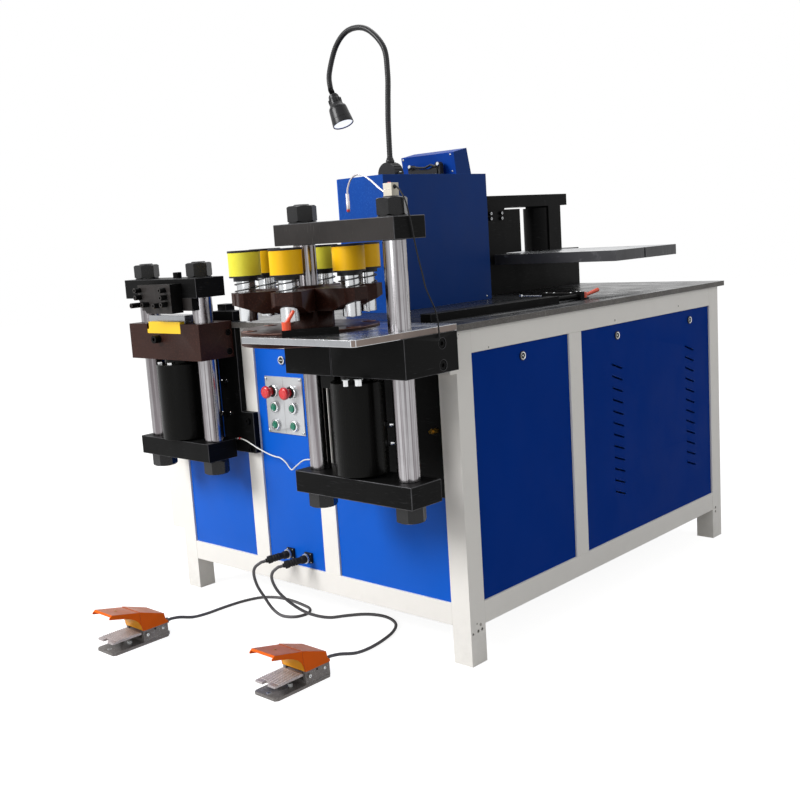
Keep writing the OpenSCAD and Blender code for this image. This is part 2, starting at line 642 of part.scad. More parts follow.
module side_profile(half, points) {
  translate([-half, 0, 0]) rotate([90, 0, 90]) linear_extrude(2 * half) polygon(points);
}
// the open front lets the foot in, and the shell rests on the step of the base
module pedal_hood(x, y) {
  color("#E8601C") translate([x, y, 0]) {
    difference() {
      side_profile(pedal_w / 2 - 1.5, [[-2, 110], [7, 117], [93, 98], [pedal_l - 25, 71],
        [pedal_l - 22, 54], [pedal_l - 14, 47], [pedal_l - 14, 42], [100, 42], [97, 56], [91, 68],
        [80, 79], [66, 87], [48, 94], [-2, 106]]);
      side_profile(pedal_w / 2 - 4.5, [[-9, 30], [-9, 110], [7, 113.8], [92.4, 95], [pedal_l - 27.6, 68.8],
        [pedal_l - 24.8, 52.5], [pedal_l - 17, 45.6], [pedal_l - 17, 30]]);
    }
    box(-pedal_w / 2 + 3, pedal_w / 2 - 3, 103, 106, 42, 62);
  }
}
module pedal_hoods() {
  pedal_hood(pd_x1, pd_y1);
  pedal_hood(pd_x2, pd_y2);
}
module treadle(x, y) {
  color("#A6A3A8") translate([x, y, 0]) difference() {
    union() {
      difference() {
        box(-pedal_w / 2 + 8, pedal_w / 2 - 8, 4, 98, 31, 37);
        box(-10, 10, 3, 16, 30, 38);
      }
      for (i = [0:11]) box(-pedal_w / 2 + 8, pedal_w / 2 - 8, 19 + i * 6.4, 22 + i * 6.4, 36.5, 38.5);
      box(-28, 28, 92, 112, 26, 36);
      rod_x(112, 28, 8, -28, 28);
    }
    rod_x(112, 28, 4, -29, 29, $fn = 32);
  }
}
module treadle_1() {
  treadle(pd_x1, pd_y1);
}
module treadle_2() {
  treadle(pd_x2, pd_y2);
}
module cord_left() {
  color("#4A4A4D") sweep(smooth(cord_1, 3), cord_r, 8, [0, 0, 1]);
}
module cord_right() {
  color("#4A4A4D") sweep(smooth(cord_2, 3), cord_r, 8, [0, 0, 1]);
}
// bent plugs with strain relief, from the socket face to the start of each cord
module cord_plugs() {
  color("#1B1B1D") for (p = [[sock_1, plug_1], [sock_2, plug_2]]) {
    sweep([p[0], p[0] - [0, 14, 0], p[1] + [16, 23, 6], p[1]], 10.5, 12, [0, 0, 1]);
  }
}
module thin_leads() {
  color("#E8E8E8") {
    sweep(smooth(white_lead, 3), 2, 8, [0, 0, 1]);
    box(-262, -250, yf - 26, yf - 20, 522, 534);
    box(mul_2 + 4, mul_2 + 16, yf - 8, yf, 484, 494);
  }
  color("#1B1B1D") {
    sweep(smooth(sensor_lead, 3), 1.8, 8, [0, 1, 0]);
    box(xr + 30, xr + 36, p_y + 74, p_y + 86, h - 14, h + 2);
  }
}
module column_pair(x, y, half, r, z0, z1, za, zb, stub) {
  for (i = [-1, 1]) {
    rod_z(x + i * half, y, r, z0, z1);
    rod_z(x + i * half, y, stub, za, zb);
  }
}
module nut(x, y, r, z0, z1, hole) {
  difference() {
    rod_z(x, y, r, z0, z1, $fn = 6);
    rod_z(x, y, hole, z0 - 1, z1 + 1);
  }
}
module nut_set(x, y, half, r, ztop, zbot, hole) {
  for (i = [-1, 1]) {
    nut(x + i * half, y, r, ztop + 3, ztop + 43, hole);
    nut(x + i * half, y, r, zbot - 43, zbot - 3, hole);
    difference() {
      rod_z(x + i * half, y, r - 2, ztop, ztop + 3);
      rod_z(x + i * half, y, hole, ztop - 1, ztop + 4);
    }
    difference() {
      rod_z(x + i * half, y, r - 2, zbot - 3, zbot);
      rod_z(x + i * half, y, hole, zbot - 4, zbot + 1);
    }
  }
}
module punch_yoke() {
  color("#1B1B1D") {
    difference() {
      box(p_x - 203, p_x + 203, p_y - 53, p_y + 53, beam_z, beam_z + 52);
      for (i = [-1, 1]) rod_z(p_x + i * punch_half, p_y, 20.8, beam_z - 1, beam_z + 53);
    }
    difference() {
      box(p_x - 193, p_x + 205, p_y - 53, p_y + 54, low_z - 55, low_z);
      for (i = [-1, 1]) rod_z(p_x + i * punch_half, p_y, 20.8, low_z - 56, low_z + 1);
    }
    rod_z(p_x, p_y, 30, low_z - 1, h - 160);
    rod_z(p_x, p_y, punch_cyl_r - 22 - run, h - 160, h - 125, $fn = 72);
  }
}
module punch_columns() {
  color("#D0D2D4") column_pair(p_x, p_y, punch_half, punch_col_r, low_z, beam_z,
    low_z - 101, beam_z + 98, 20.5);
  color("#1B1B1D") nut_set(p_x, p_y, punch_half, nut_r, beam_z + 52, low_z - 55, 20.8);
}
module sensor() {
  color("#E8E8E8") {
    box(c2_x - 13, c2_x + 13, p_y - 12, p_y + 12, beam_z + 98, beam_z + 127);
    rod_z(c2_x - 4, p_y, 4.5, beam_z + 126, beam_z + 129, $fn = 24);
    sweep(smooth(feeler, 6), 2.2, 8, [0, 1, 0]);
    translate([c2_x - 146, p_y + 5, h + 299]) cylinder(r = 4.3, h = 44, $fn = 24);
  }
}
module shear_yoke() {
  color("#1B1B1D") {
    difference() {
      box(s_c - 178, s_c + 177, s_y - 51, s_y + 51, sb_z, sb_z + 56);
      for (i = [-1, 1]) rod_z(s_c + i * shear_half, s_y, 21.3, sb_z - 1, sb_z + 57);
    }
    rod_z(s_x + 60, s_y - 20, 12.5, sb_z + 55, sb_z + 74, $fn = 32);
    difference() {
      box(s_c - 170, s_c + 167, s_y - 52, s_y + 52, sl_z - 55, sl_z);
      for (i = [-1, 1]) rod_z(s_c + i * shear_half, s_y, 21.3, sl_z - 56, sl_z + 1);
    }
    rod_z(s_c, s_y, 32, sl_z - 1, h - 160);
    rod_z(s_c, s_y, shear_cyl_r - 22 - run, h - 160, h - 125, $fn = 72);
  }
}
module shear_columns() {
  color("#D0D2D4") column_pair(s_c, s_y, shear_half, shear_col_r, sl_z, sb_z,
    sl_z - 101, sb_z + 102, 21);
  color("#1B1B1D") nut_set(s_c, s_y, shear_half, nut_r, sb_z + 56, sl_z - 55, 21.3);
}
module blade_holder() {
  color("#242426") {
    translate([0, yf - 142, 0]) rotate([90, 0, 0]) linear_extrude(40) polygon([[s_x - 43, h + 140],
      [s_x + 117, h + 140], [s_x + 117, h + 56], [s_x - 8, h + 56], [s_x - 43, h + 96]]);
    box(s_x + 60, s_x + 160, yf - 142, yf - 122.5, h + 36 + shear_stroke, sb_z);
    for (p = [[-33, 125, 20], [-33, 104, 20], [-20, 83, 44], [2, 83, 22], [90, 124, 20], [92, 103, 20],
      [55, 80, 20], [93, 83, 20]]) cap_y(s_x + p[0], h + p[1], 7.5, yf - 182, p[2]);
  }
  color("#B5B7B9") box(s_x - 90, s_x + 60, yf - 142, yf - 122.3, h + 36 + shear_stroke, sb_z);
}
module star_lobe() {
  intersection() {
    linear_extrude(h + 200) polygon([[0, -38], [168, -38], [187, -22], [187, 22], [168, 38], [0, 38]]);
    translate([0, 38, 0]) rotate([90, 0, 0]) linear_extrude(76) polygon([[0, star_z - 54],
      [122, star_z - 54], [187, star_z - 30], [187, star_z], [0, star_z]]);
  }
}
module turret_star() {
  color("#4A2E25") difference() {
    union() {
      for (i = [0:5]) translate([c1_x, p_y, 0]) rotate([0, 0, 60 * i]) star_lobe();
      rod_z(c1_x, p_y, 62, disc_top, star_z - 20);
      rod_z(c1_x, p_y, 40, star_z - 1, star_z + 6);
    }
    rod_z(c1_x, p_y, punch_col_r + run, disc_top - 1, star_z + 20);
    for (i = [0:5]) translate([c1_x, p_y, 0]) rotate([0, 0, 60 * i])
      rod_z(punch_half, 0, 22.5 + run, star_z - 60, star_z + 1);
  }
}
module turret_disc() {
  color("#4A2E25") difference() {
    union() {
      rod_z(c1_x, p_y, disc_r, disc_z, disc_top, $fn = 96);
      for (i = [0:5]) translate([c1_x, p_y, 0]) rotate([0, 0, 60 * i])
        rod_z(punch_half, 0, 18, disc_top - 1, disc_top + 2);
    }
    rod_z(c1_x, p_y, punch_col_r + run, disc_z - 1, disc_top + 1);
    for (i = [0:5]) translate([c1_x, p_y, 0]) rotate([0, 0, 60 * i]) {
      rod_z(punch_half, 0, 6 + i * 0.6, disc_z - 1, disc_top + 3, $fn = 32);
      rod_z(punch_half, 0, 11, disc_z - 1, disc_top - 12, $fn = 32);
    }
  }
}
module punch_springs() {
  color("#1B1B1D") for (i = [0:5]) translate([c1_x, p_y, 0]) rotate([0, 0, 60 * i])
    translate([punch_half, 0, 0]) sweep(spring_line, wire_r, 8, [0, 0, 1]);
}
module turret_lever() {
  color("#E8451C") translate([p_x - 47, yf - 361, h + 22.05 + plate_t]) rotate([0, 0, 47]) {
    translate([11, 11, 0]) {
      difference() {
        rod_z(0, 0, 10.5, 0, 19);
        rod_z(0, 0, 4 + run, -1, 15, $fn = 32);
      }
      translate([0, 0, 15]) rotate([0, 35, 2]) {
        cylinder(r1 = 5, r2 = 4, h = 32, $fn = 32);
        translate([0, 0, 32]) sphere(r = 4, $fn = 32);
      }
    }
  }
}
module punch_tool(i) {
  translate([c1_x, p_y, 0]) rotate([0, 0, 60 * i]) translate([punch_half, 0, 0]) {
    color("#1B1B1D") {
      rod_z(0, 0, pad_r, tool_top - 5, tool_top);
      rod_z(0, 0, pad_r, pad_z - 4, pad_z);
      rod_z(0, 0, 30, pad_z - 13, pad_z - 4);
    }
    color(i == 2 || i == 4 ? "#B7BE1E" : "#F0AE12") rod_z(0, 0, pad_r - 0.8, pad_z, tool_top - 5);
    color("#B5B7B9") {
      rod_z(0, 0, 22.5, disc_top + punch_stroke + 7, pad_z - 13);
      rod_z(0, 0, 5 + i * 0.6, disc_top + punch_stroke + 4, disc_top + punch_stroke + 8, $fn = 32);
    }
  }
}
module punch_tool_1() {
  punch_tool(0);
}
module punch_tool_2() {
  punch_tool(1);
}
module punch_tool_3() {
  punch_tool(2);
}
module punch_tool_4() {
  punch_tool(3);
}
module punch_tool_5() {
  punch_tool(4);
}
module punch_tool_6() {
  punch_tool(5);
}
module side_panel_front() {
  color("#1A62C8") difference() {
    sheet_y(yf + tube, smul, xr - 5, 1);
    rod_x(lock_y1, h - 94, 9 + run, xr - 20, xr);
  }
}
module louvre(y, z) {
  translate([0, y, z]) rotate([-19.3, 0, 0]) children();
}
module side_panel_rear() {
  color("#1A62C8") difference() {
    union() {
      sheet_y(smul + tube, yb - tube, xr - 5, 1);
      for (y = [lock_y2 - 3, lock_y3 - 3]) for (i = [0:louvre_n - 1]) louvre(y, h - 186 - i * 34.8)
        box(xr - 6, xr - 2.5, -31, 31, 2.2, 4.4);
    }
    for (y = [lock_y2 - 3, lock_y3 - 3]) for (i = [0:louvre_n - 1]) louvre(y, h - 186 - i * 34.8)
      box(xr - 12, xr, -30, 30, -2.6, 2.2);
    rod_x(lock_y2, h - 94, 9 + run, xr - 20, xr);
    rod_x(lock_y3, h - 94, 9 + run, xr - 20, xr);
  }
}
module lock(y) {
  color("#2A2A2C") difference() {
    union() {
      rod_x(y, h - 94, 12, xr - 5, xr - 1);
      rod_x(y, h - 94, 9, xr - 25, xr - 4);
      box(xr - 25, xr - 22, y - 8, y + 26, h - 102, h - 86);
    }
    rod_x(y, h - 94, 4, xr - 6, xr, $fn = 3);
  }
}
module lock_side() {
  lock(lock_y1);
}
module lock_rear_1() {
  lock(lock_y2);
}
module lock_rear_2() {
  lock(lock_y3);
}
module estop(x) {
  color("#D8201C") {
    rod_y(cp_x + x, cp_z + 41, 11, yf - 24, yf + 20);
    rod_y(cp_x + x, cp_z + 41, 18, yf - 33, yf - 23);
    translate([cp_x + x, yf - 33, cp_z + 41]) rotate([90, 0, 0]) cylinder(r1 = 18, r2 = 13, h = 4);
  }
}
module estop_1() {
  estop(-40.5);
}
module estop_2() {
  estop(37.5);
}
module button(x, z) {
  color("#18A558") rod_y(cp_x + x, cp_z + z, 10.5, yf - 9, yf + 20);
}
module button_1() {
  button(-40.5, -6);
}
module button_2() {
  button(37.5, -6);
}
module button_3() {
  button(-40.5, -57);
}
module button_4() {
  button(37.5, -57);
}

frame_uprights();
frame_rails();
frame_fittings();
table_top();
fixed_panels();
inner_units();
punch_block();
punch_plate();
cylinder_barrels();
shear_block();
shear_lower_tools();
shear_back_plate();
fixings();
panel_fittings();
electric_box();
box_fittings();
bend_frame();
bend_plate();
guide_rail();
pedal_bases();
pedal_hoods();
cord_left();
cord_right();
cord_plugs();
thin_leads();
punch_yoke();
punch_columns();
sensor();
shear_yoke();
shear_columns();
blade_holder();
turret_star();
turret_disc();
punch_springs();
turret_lever();
punch_tool_1();
punch_tool_2();
punch_tool_3();
punch_tool_4();
punch_tool_5();
punch_tool_6();
side_panel_front();
lock_side();
side_panel_rear();
lock_rear_1();
lock_rear_2();
estop_1();
estop_2();
button_1();
button_2();
button_3();
button_4();
electric_door();
lamp_arm();
lamp_head();
bend_ram();
gauge_rod();
gauge_lever();
treadle_1();
treadle_2();
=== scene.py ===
import json
import math

import bmesh
import bpy
from mathutils import Matrix, Vector


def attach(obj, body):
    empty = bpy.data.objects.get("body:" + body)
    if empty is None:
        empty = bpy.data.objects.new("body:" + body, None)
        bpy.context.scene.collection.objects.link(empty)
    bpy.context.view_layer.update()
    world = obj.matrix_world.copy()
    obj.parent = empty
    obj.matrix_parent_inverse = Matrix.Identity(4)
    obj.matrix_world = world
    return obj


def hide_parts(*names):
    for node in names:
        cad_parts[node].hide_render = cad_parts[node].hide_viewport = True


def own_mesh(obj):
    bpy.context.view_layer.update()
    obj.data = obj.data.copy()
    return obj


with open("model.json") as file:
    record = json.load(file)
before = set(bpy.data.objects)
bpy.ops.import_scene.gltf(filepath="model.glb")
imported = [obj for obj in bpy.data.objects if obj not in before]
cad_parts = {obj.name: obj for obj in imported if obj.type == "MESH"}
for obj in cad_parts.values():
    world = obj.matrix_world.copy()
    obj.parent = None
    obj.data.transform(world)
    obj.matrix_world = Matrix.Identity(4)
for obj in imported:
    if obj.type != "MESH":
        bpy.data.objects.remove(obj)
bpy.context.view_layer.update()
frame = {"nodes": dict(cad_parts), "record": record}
NODES = frame["nodes"]
BODY_OF = {n: b for b, ns in frame["record"]["behaviour"]["bodies"].items() for n in ns}
SLOT_OF = {s["node"]: s["material_slot"] for s in frame["record"]["subparts"]}
MM, TO_MM = 0.001, 1000
X, Y, Z = Vector((1, 0, 0)), Vector((0, 1, 0)), Vector((0, 0, 1))
scene = bpy.context.scene

# Camera, fitted to the photo (millimetres for the lens, metres for the place)
LENS_LENGTH, SENSOR_WIDTH, CLIP_END = 47.98, 36.0, 60.0
EYE = (2.258, -2.665, 1.107)
VIEW_RIGHT = (0.7346, 0.6755, -0.0630)
VIEW_AHEAD = (-0.6758, 0.7204, -0.1557)


def frame_at(x, y, z, origin):
    """A matrix from three directions and an origin."""
    matrix = Matrix((x, y, z)).transposed().to_4x4()
    matrix.translation = origin
    return matrix


def make_camera():
    data = bpy.data.cameras.new("camera")
    data.sensor_width = SENSOR_WIDTH
    data.lens = LENS_LENGTH
    data.clip_end = CLIP_END
    cam = bpy.data.objects.new("camera", data)
    scene.collection.objects.link(cam)
    ahead = Vector(VIEW_AHEAD).normalized()
    up = Vector(VIEW_RIGHT).normalized().cross(ahead).normalized()
    cam.matrix_world = frame_at(ahead.cross(up).normalized(), up, -ahead, EYE)
    scene.camera = cam


make_camera()


# Materials
def linear(col):
    """Linear values of a hex code; a colour that is linear already stays."""
    if not isinstance(col, str):
        return list(col)
    out = []
    for i in (0, 2, 4):
        c = int(col[i:i + 2], 16) / 255
        out.append(c / 12.92 if c <= 0.04045 else ((c + 0.055) / 1.055) ** 2.4)
    return out


def scaled(col, k):
    return [min(1.0, c * k) for c in col] + [1.0]


class Nodes:
    """A small helper round one node tree."""

    def __init__(self, tree):
        self.tree = tree

    def add(self, kind, **values):
        n = self.tree.nodes.new(kind)
        for key, value in values.items():
            n.inputs[key].default_value = value
        return n

    def link(self, a, b):
        self.tree.links.new(a, b)

    def feed(self, n, values):
        """Gives the numbered inputs of a node a plain value or another node's output."""
        for i, value in values.items():
            if isinstance(value, bpy.types.NodeSocket):
                self.link(value, n.inputs[i])
            else:
                n.inputs[i].default_value = value

    def math(self, op, a, b):
        n = self.add("ShaderNodeMath")
        n.operation = op
        self.feed(n, {0: a, 1: b})
        return n.outputs[0]

    def mix(self, fac, a, b):
        n = self.add("ShaderNodeMix")
        n.data_type = "RGBA"
        self.feed(n, {0: fac, 6: a, 7: b})
        return n.outputs[2]

    def ramp(self, fac, lo, hi, out_lo=0.0, out_hi=1.0):
        n = self.add("ShaderNodeMapRange")
        self.feed(n, {0: fac, 1: lo, 2: hi, 3: out_lo, 4: out_hi})
        return n.outputs[0]

    def noise(self, coord, scale, detail, rough, stretch=None):
        if stretch:
            m = self.add("ShaderNodeMapping", Scale=stretch)
            self.link(coord, m.inputs["Vector"])
            coord = m.outputs[0]
        n = self.add("ShaderNodeTexNoise", Scale=scale, Detail=detail, Roughness=rough)
        self.link(coord, n.inputs["Vector"])
        return n.outputs["Fac"]

    def layer(self, under, mask, strength, col):
        """A colour laid over another one where the mask is."""
        return self.mix(self.math("MULTIPLY", mask, strength), under, linear(col)[:3] + [1.0])

    def seen(self):
        """One for camera, mirror and see-through rays, zero for the light that bounces."""
        rays = self.add("ShaderNodeLightPath").outputs
        return self.math("MAXIMUM", rays["Is Camera Ray"],
                         self.math("MAXIMUM", rays["Is Glossy Ray"], rays["Is Transmission Ray"]))


def surface(name, code, rough, metal=0.0, coat=0.0, specular=0.5, aniso=0.0, var=0.07, var_scale=4.0,
            rough_var=0.08, speck=0.0, speck_scale=500.0, speck_col=None, scratch=0.0, scratch_col=None,
            scratch_stretch=(1, 1, 40), scratch_scale=30.0, dirt=0.0, dirt_col=(0.09, 0.08, 0.07),
            floor_dirt=0.0, reflection_bands=0.0, reflection_col=None, bump=0.15, bump_scale=700.0, bump_mm=0.05,
            grain=None):
    """One procedural finish: tone variation, specks, scratches, painted reflection bands, dirt, fine bump."""
    mat = bpy.data.materials.new(name)
    mat.use_nodes = True
    t = Nodes(mat.node_tree)
    bsdf = mat.node_tree.nodes["Principled BSDF"]
    coord = t.add("ShaderNodeTexCoord").outputs["Object"]
    col = linear(code)
    broad = t.noise(coord, var_scale, 6.0, 0.6)
    out = t.mix(t.ramp(broad, 0.3, 0.7), scaled(col, 1 - var), scaled(col, 1 + var))
    if speck:
        fine = t.noise(coord, speck_scale, 2.0, 0.5)
        out = t.layer(out, t.ramp(fine, 0.56, 0.66), speck, speck_col or scaled(col, 1.6))
    if scratch:
        line = t.noise(coord, scratch_scale, 3.0, 0.6, scratch_stretch)
        patch = t.noise(coord, var_scale * 1.7, 3.0, 0.5)
        mask = t.math("MULTIPLY", t.ramp(line, 0.60, 0.68), t.ramp(patch, 0.42, 0.62))
        out = t.layer(out, mask, scratch, scratch_col or scaled(col, 1.8))
    # painted reflection: long dark bands standing in for the dark surroundings mirrored in the chrome
    if reflection_bands:
        wide = t.ramp(t.noise(coord, 55.0, 3.0, 0.6, (1, 1, 0.012)), 0.47, 0.62)
        thin = t.ramp(t.noise(coord, 210.0, 2.0, 0.5, (1, 1, 0.006)), 0.52, 0.6)
        both = t.math("MAXIMUM", t.math("MULTIPLY", wide, 0.8), t.math("MULTIPLY", thin, 0.7))
        out = t.layer(out, both, reflection_bands, reflection_col)
    if dirt:
        patch = t.noise(coord, 9.0, 8.0, 0.7)
        out = t.layer(out, t.ramp(patch, 0.55, 0.75), dirt, dirt_col)
    if floor_dirt:
        place = t.add("ShaderNodeSeparateXYZ")
        t.link(coord, place.inputs[0])
        low = t.ramp(place.outputs[2], 0.16, 0.0)
        patch = t.noise(coord, 22.0, 8.0, 0.7)
        out = t.layer(out, t.math("MULTIPLY", low, t.ramp(patch, 0.4, 0.7)), floor_dirt, dirt_col)
    t.link(out, bsdf.inputs["Base Color"])
    smear = t.noise(coord, 14.0, 5.0, 0.6, (1, 1, 0.5))
    lo, hi = max(0.02, rough - rough_var), min(1.0, rough + rough_var)
    t.link(t.ramp(smear, 0.3, 0.7, lo, hi), bsdf.inputs["Roughness"])
    bsdf.inputs["Metallic"].default_value = metal
    bsdf.inputs["Specular IOR Level"].default_value = specular
    bsdf.inputs["Anisotropic"].default_value = aniso
    if coat:
        bsdf.inputs["Coat Weight"].default_value = coat
        bsdf.inputs["Coat Roughness"].default_value = 0.12
    height = t.noise(coord, bump_scale, 3.0, 0.5)
    if grain:
        line = t.noise(coord, bump_scale * 0.4, 3.0, 0.6, grain)
        height = t.math("ADD", t.math("MULTIPLY", height, 0.3), line)
    b = t.add("ShaderNodeBump", Strength=bump, Distance=bump_mm * MM)
    t.link(height, b.inputs["Height"])
    t.link(b.outputs[0], bsdf.inputs["Normal"])
    mat.diffuse_color = scaled(col, 1.0)
    return mat


# Finishes, and the values that several of them share
ENAMEL = dict(var_scale=2.5, bump=0.2, bump_scale=320, bump_mm=0.06)
OXIDE = dict(var=0.3, bump=0.25, bump_scale=420, bump_mm=0.06)
MOULDED = dict(bump=0.25, bump_scale=420, bump_mm=0.08)
GROUND = dict(bump=0.25, bump_scale=500, bump_mm=0.03)
PADDED = dict(specular=0.2, var=0.06, var_scale=20, bump=0.2, bump_scale=500)
WHITE = surface("white_enamel", "F7F4EE", 0.38, var=0.02, bump=0.25, bump_scale=260, bump_mm=0.08, dirt=0.04,
                floor_dirt=0.12, specular=0.4)
WHITE_EDGE = surface("white_enamel_edge", "F0EDE6", 0.36, var=0.03, bump=0.2, bump_scale=300, scratch=0.2,
                     scratch_col="8D8C86", scratch_stretch=(6, 6, 6), scratch_scale=12)
BLUE = surface("blue_enamel", "0A5CCA", 0.36, var=0.05, dirt=0.05, dirt_col=(0.02, 0.05, 0.12), specular=0.14,
               **ENAMEL)
# painted shade: a darker copy of the blue enamel for the side panels, which face away from the key light
BLUE_SIDE_SHADE = surface("blue_side_painted_shade", "04358F", 0.5, var=0.06, dirt=0.05, dirt_col=(0.01, 0.03, 0.08),
                    specular=0.02, **ENAMEL)
# painted shade: a darker copy of the box blue for the faces of the electric box and console that turn to +X,
# away from the light
BLUE_BOX_SHADE = surface("blue_box_side_painted_shade", "123A80", 0.38, var=0.06, specular=0.08, **ENAMEL)
# painted shade: the console's blue is darkened all over for the shade it stands in
BLUE_CONSOLE_SHADE = surface("blue_console_painted_shade", "083C94", 0.45, var=0.06, specular=0.1, **ENAMEL)
BLUE_FRONT = surface("blue_enamel_box_front", "0A459C", 0.4, var=0.1, var_scale=6, bump=0.3, bump_scale=220,
                     bump_mm=0.1, speck=0.25, speck_scale=240, speck_col="2F6BC4", dirt=0.2,
                     dirt_col=(0.004, 0.015, 0.05), specular=0.12)
# painted highlight: a lighter blue on the bevelled edges of the blue panels, box and door, for the light that
# rounded edges catch
BLUE_EDGE_HIGHLIGHT = surface("blue_edge_painted_highlight", "2468C8", 0.34, var=0.05, bump=0.1, specular=0.2)
TABLE = surface("table_enamel", "222325", 0.27, specular=0.26, var=0.12, var_scale=5, speck=0.35,
                speck_scale=900, speck_col="45474B", scratch=0.45, scratch_col="5F6165",
                scratch_stretch=(2, 14, 1), scratch_scale=16, bump=0.2, bump_scale=300, bump_mm=0.05,
                dirt=0.25, dirt_col=(0.02, 0.02, 0.024))
TABLE_SIDE = surface("table_side", "55524F", 0.5, metal=0.2, var=0.2, var_scale=12, speck=0.6,
                     speck_scale=420, speck_col="9A9792", scratch=0.5, scratch_col="8A8782",
                     scratch_stretch=(20, 20, 2), scratch_scale=6, specular=0.2)
TABLE_EDGE = surface("table_worn_edge", "8B8D90", 0.4, metal=0.3, var=0.25, var_scale=30, scratch=0.6,
                     scratch_col="B9BABC", scratch_stretch=(1, 1, 1), scratch_scale=60)
BLACK = surface("black_oxide", "0D0D0D", 0.42, var_scale=7, scratch=0.3, scratch_col="4A4A4C",
                scratch_stretch=(1, 1, 12), dirt=0.3, dirt_col=(0.005, 0.005, 0.005), specular=0.05, **OXIDE)
# painted light: a lighter copy of the black oxide for faces turned to the light, the front of the punch beam
# and blade holder and the top of the gauge bar; its scratches and dirt are wear
BLACK_LIT_FACE = surface("black_face_painted_light_and_wear", "2C2928", 0.4, var_scale=9, scratch=0.35, scratch_col="5A5653",
                    scratch_stretch=(12, 1, 1), dirt=0.3, dirt_col=(0.01, 0.009, 0.008), specular=0.15,
                    **OXIDE)
# edges of black parts in a lighter grey: partly wear, partly painted highlight of the rounded edges
BLACK_EDGE = surface("black_edge_wear_and_highlight", "444446", 0.36, metal=0.3, var=0.4, var_scale=40, bump=0.1,
                     specular=0.2)
GLOSS_BLACK = surface("black_gloss_paint", "0B0B0A", 0.26, var=0.15, bump=0.15, bump_scale=200, bump_mm=0.08,
                      specular=0.08)
BROWN = surface("brown_oil_finish", "2C1610", 0.42, var=0.3, var_scale=9, bump=0.35, bump_scale=300,
                bump_mm=0.1, dirt=0.5, dirt_col=(0.012, 0.007, 0.006), specular=0.12, speck=0.25,
                speck_col="5F3A30", speck_scale=240)
# edges of brown parts in a lighter brown: partly wear, partly painted highlight of the rounded edges
BROWN_EDGE = surface("brown_edge_wear_and_highlight", "6E4435", 0.35, metal=0.2, var=0.3, var_scale=40)
STEEL = surface("ground_steel", "A4A6A9", 0.24, metal=0.95, var=0.08, var_scale=10, aniso=0.5, scratch=0.4,
                scratch_col="D2D4D6", scratch_stretch=(40, 2, 1), scratch_scale=8, grain=(60, 2, 2),
                dirt=0.25, dirt_col="6A6C70", **GROUND)
BRIGHT = surface("bright_steel", "C9CBCD", 0.22, metal=1.0, var=0.05, bump=0.2, bump_scale=600, bump_mm=0.02,
                 grain=(2, 60, 2))
# painted reflection: the chrome columns carry dark bands along their length
CHROME = surface("hard_chrome", "A6A4A6", 0.16, metal=1.0, var=0.08, var_scale=20, bump=0.25, bump_scale=300,
                 bump_mm=0.03, grain=(1, 1, 0.04), rough_var=0.06, reflection_bands=1.0, reflection_col="5B5356")
ALU = surface("brushed_plate", "C2C4C6", 0.34, metal=0.55, var=0.04, grain=(60, 1, 1), **GROUND)
ZINC = surface("zinc_screw", "B9BBBB", 0.28, metal=0.95, var=0.08, var_scale=60)
ORANGE = surface("orange_moulding", "F06606", 0.5, var=0.06, dirt=0.15, dirt_col="7A3208", specular=0.15,
                 **MOULDED)
# painted sheen: up-facing faces of the hoods get a paler, browner orange for the light they mirror; the specks
# are wear
ORANGE_TOP_SHEEN = surface("orange_top_sheen_and_wear", "B25E36", 0.42, var=0.16, var_scale=16, speck=0.2, speck_scale=300,
                     specular=0.3, **MOULDED)
ORANGE_LEVER = surface("orange_lever", "EC4A17", 0.28, var=0.05, coat=0.3, bump=0.1)
CAST = surface("cast_alloy", "6C6764", 0.5, metal=0.35, var=0.12, var_scale=20, bump=0.6, bump_scale=260,
               bump_mm=0.25, speck=0.3, speck_scale=420, speck_col="C8CACC")
RUBBER = surface("black_rubber", "1A1A1C", 0.6, var=0.12, bump=0.2, bump_scale=900, specular=0.2)
CORD_GREY = surface("cord_grey", "585658", 0.5, var=0.08, bump=0.2, bump_scale=900, specular=0.35)
WHITE_PLASTIC = surface("white_moulding", "E4E4E0", 0.42, var=0.03, bump=0.1)
YELLOW_PAD = surface("amber_pad", "FFC212", 0.4, dirt=0.18, dirt_col="8F6A10", **PADDED)
LIME_PAD = surface("lime_pad", "EAE246", 0.4, dirt=0.12, dirt_col="7F8018", **PADDED)
RED = surface("red_moulding", "D3121C", 0.26, var=0.03, coat=0.4, bump=0.05)
GREEN = surface("green_moulding", "0B7358", 0.3, var=0.04, coat=0.3, bump=0.05)
YELLOW_BLADE = surface("yellow_block", "F3C518", 0.36, var=0.05, bump=0.15, dirt=0.15, dirt_col="8F7410")
PLATE_DARK = surface("dark_ground_plate", "4E4E50", 0.45, metal=0.3, var=0.25, var_scale=3, scratch=0.5,
                     scratch_col="A4A6AA", scratch_stretch=(3, 40, 3), scratch_scale=9, grain=(2, 60, 2),
                     dirt=0.3, dirt_col="3A3B40", specular=0.3, **GROUND)
# painted shade: a darker, browner copy of the ground steel for the +X faces of the punch plate, away from the
# light; the scratches are wear
PLATE_SIDE_SHADE = surface("plate_side_painted_shade", "7D7069", 0.42, metal=0.5, var=0.2, var_scale=9, scratch=0.4,
                     scratch_col="B5A9A0", scratch_stretch=(3, 3, 30), bump=0.2, bump_scale=400)
# painted light: a paler, brighter orange for the inner wall of the hoods, which stands in shade
ORANGE_IN_LIT = surface("orange_inner_painted_light", "FFB028", 0.42, var=0.08, bump=0.2, specular=0.2)
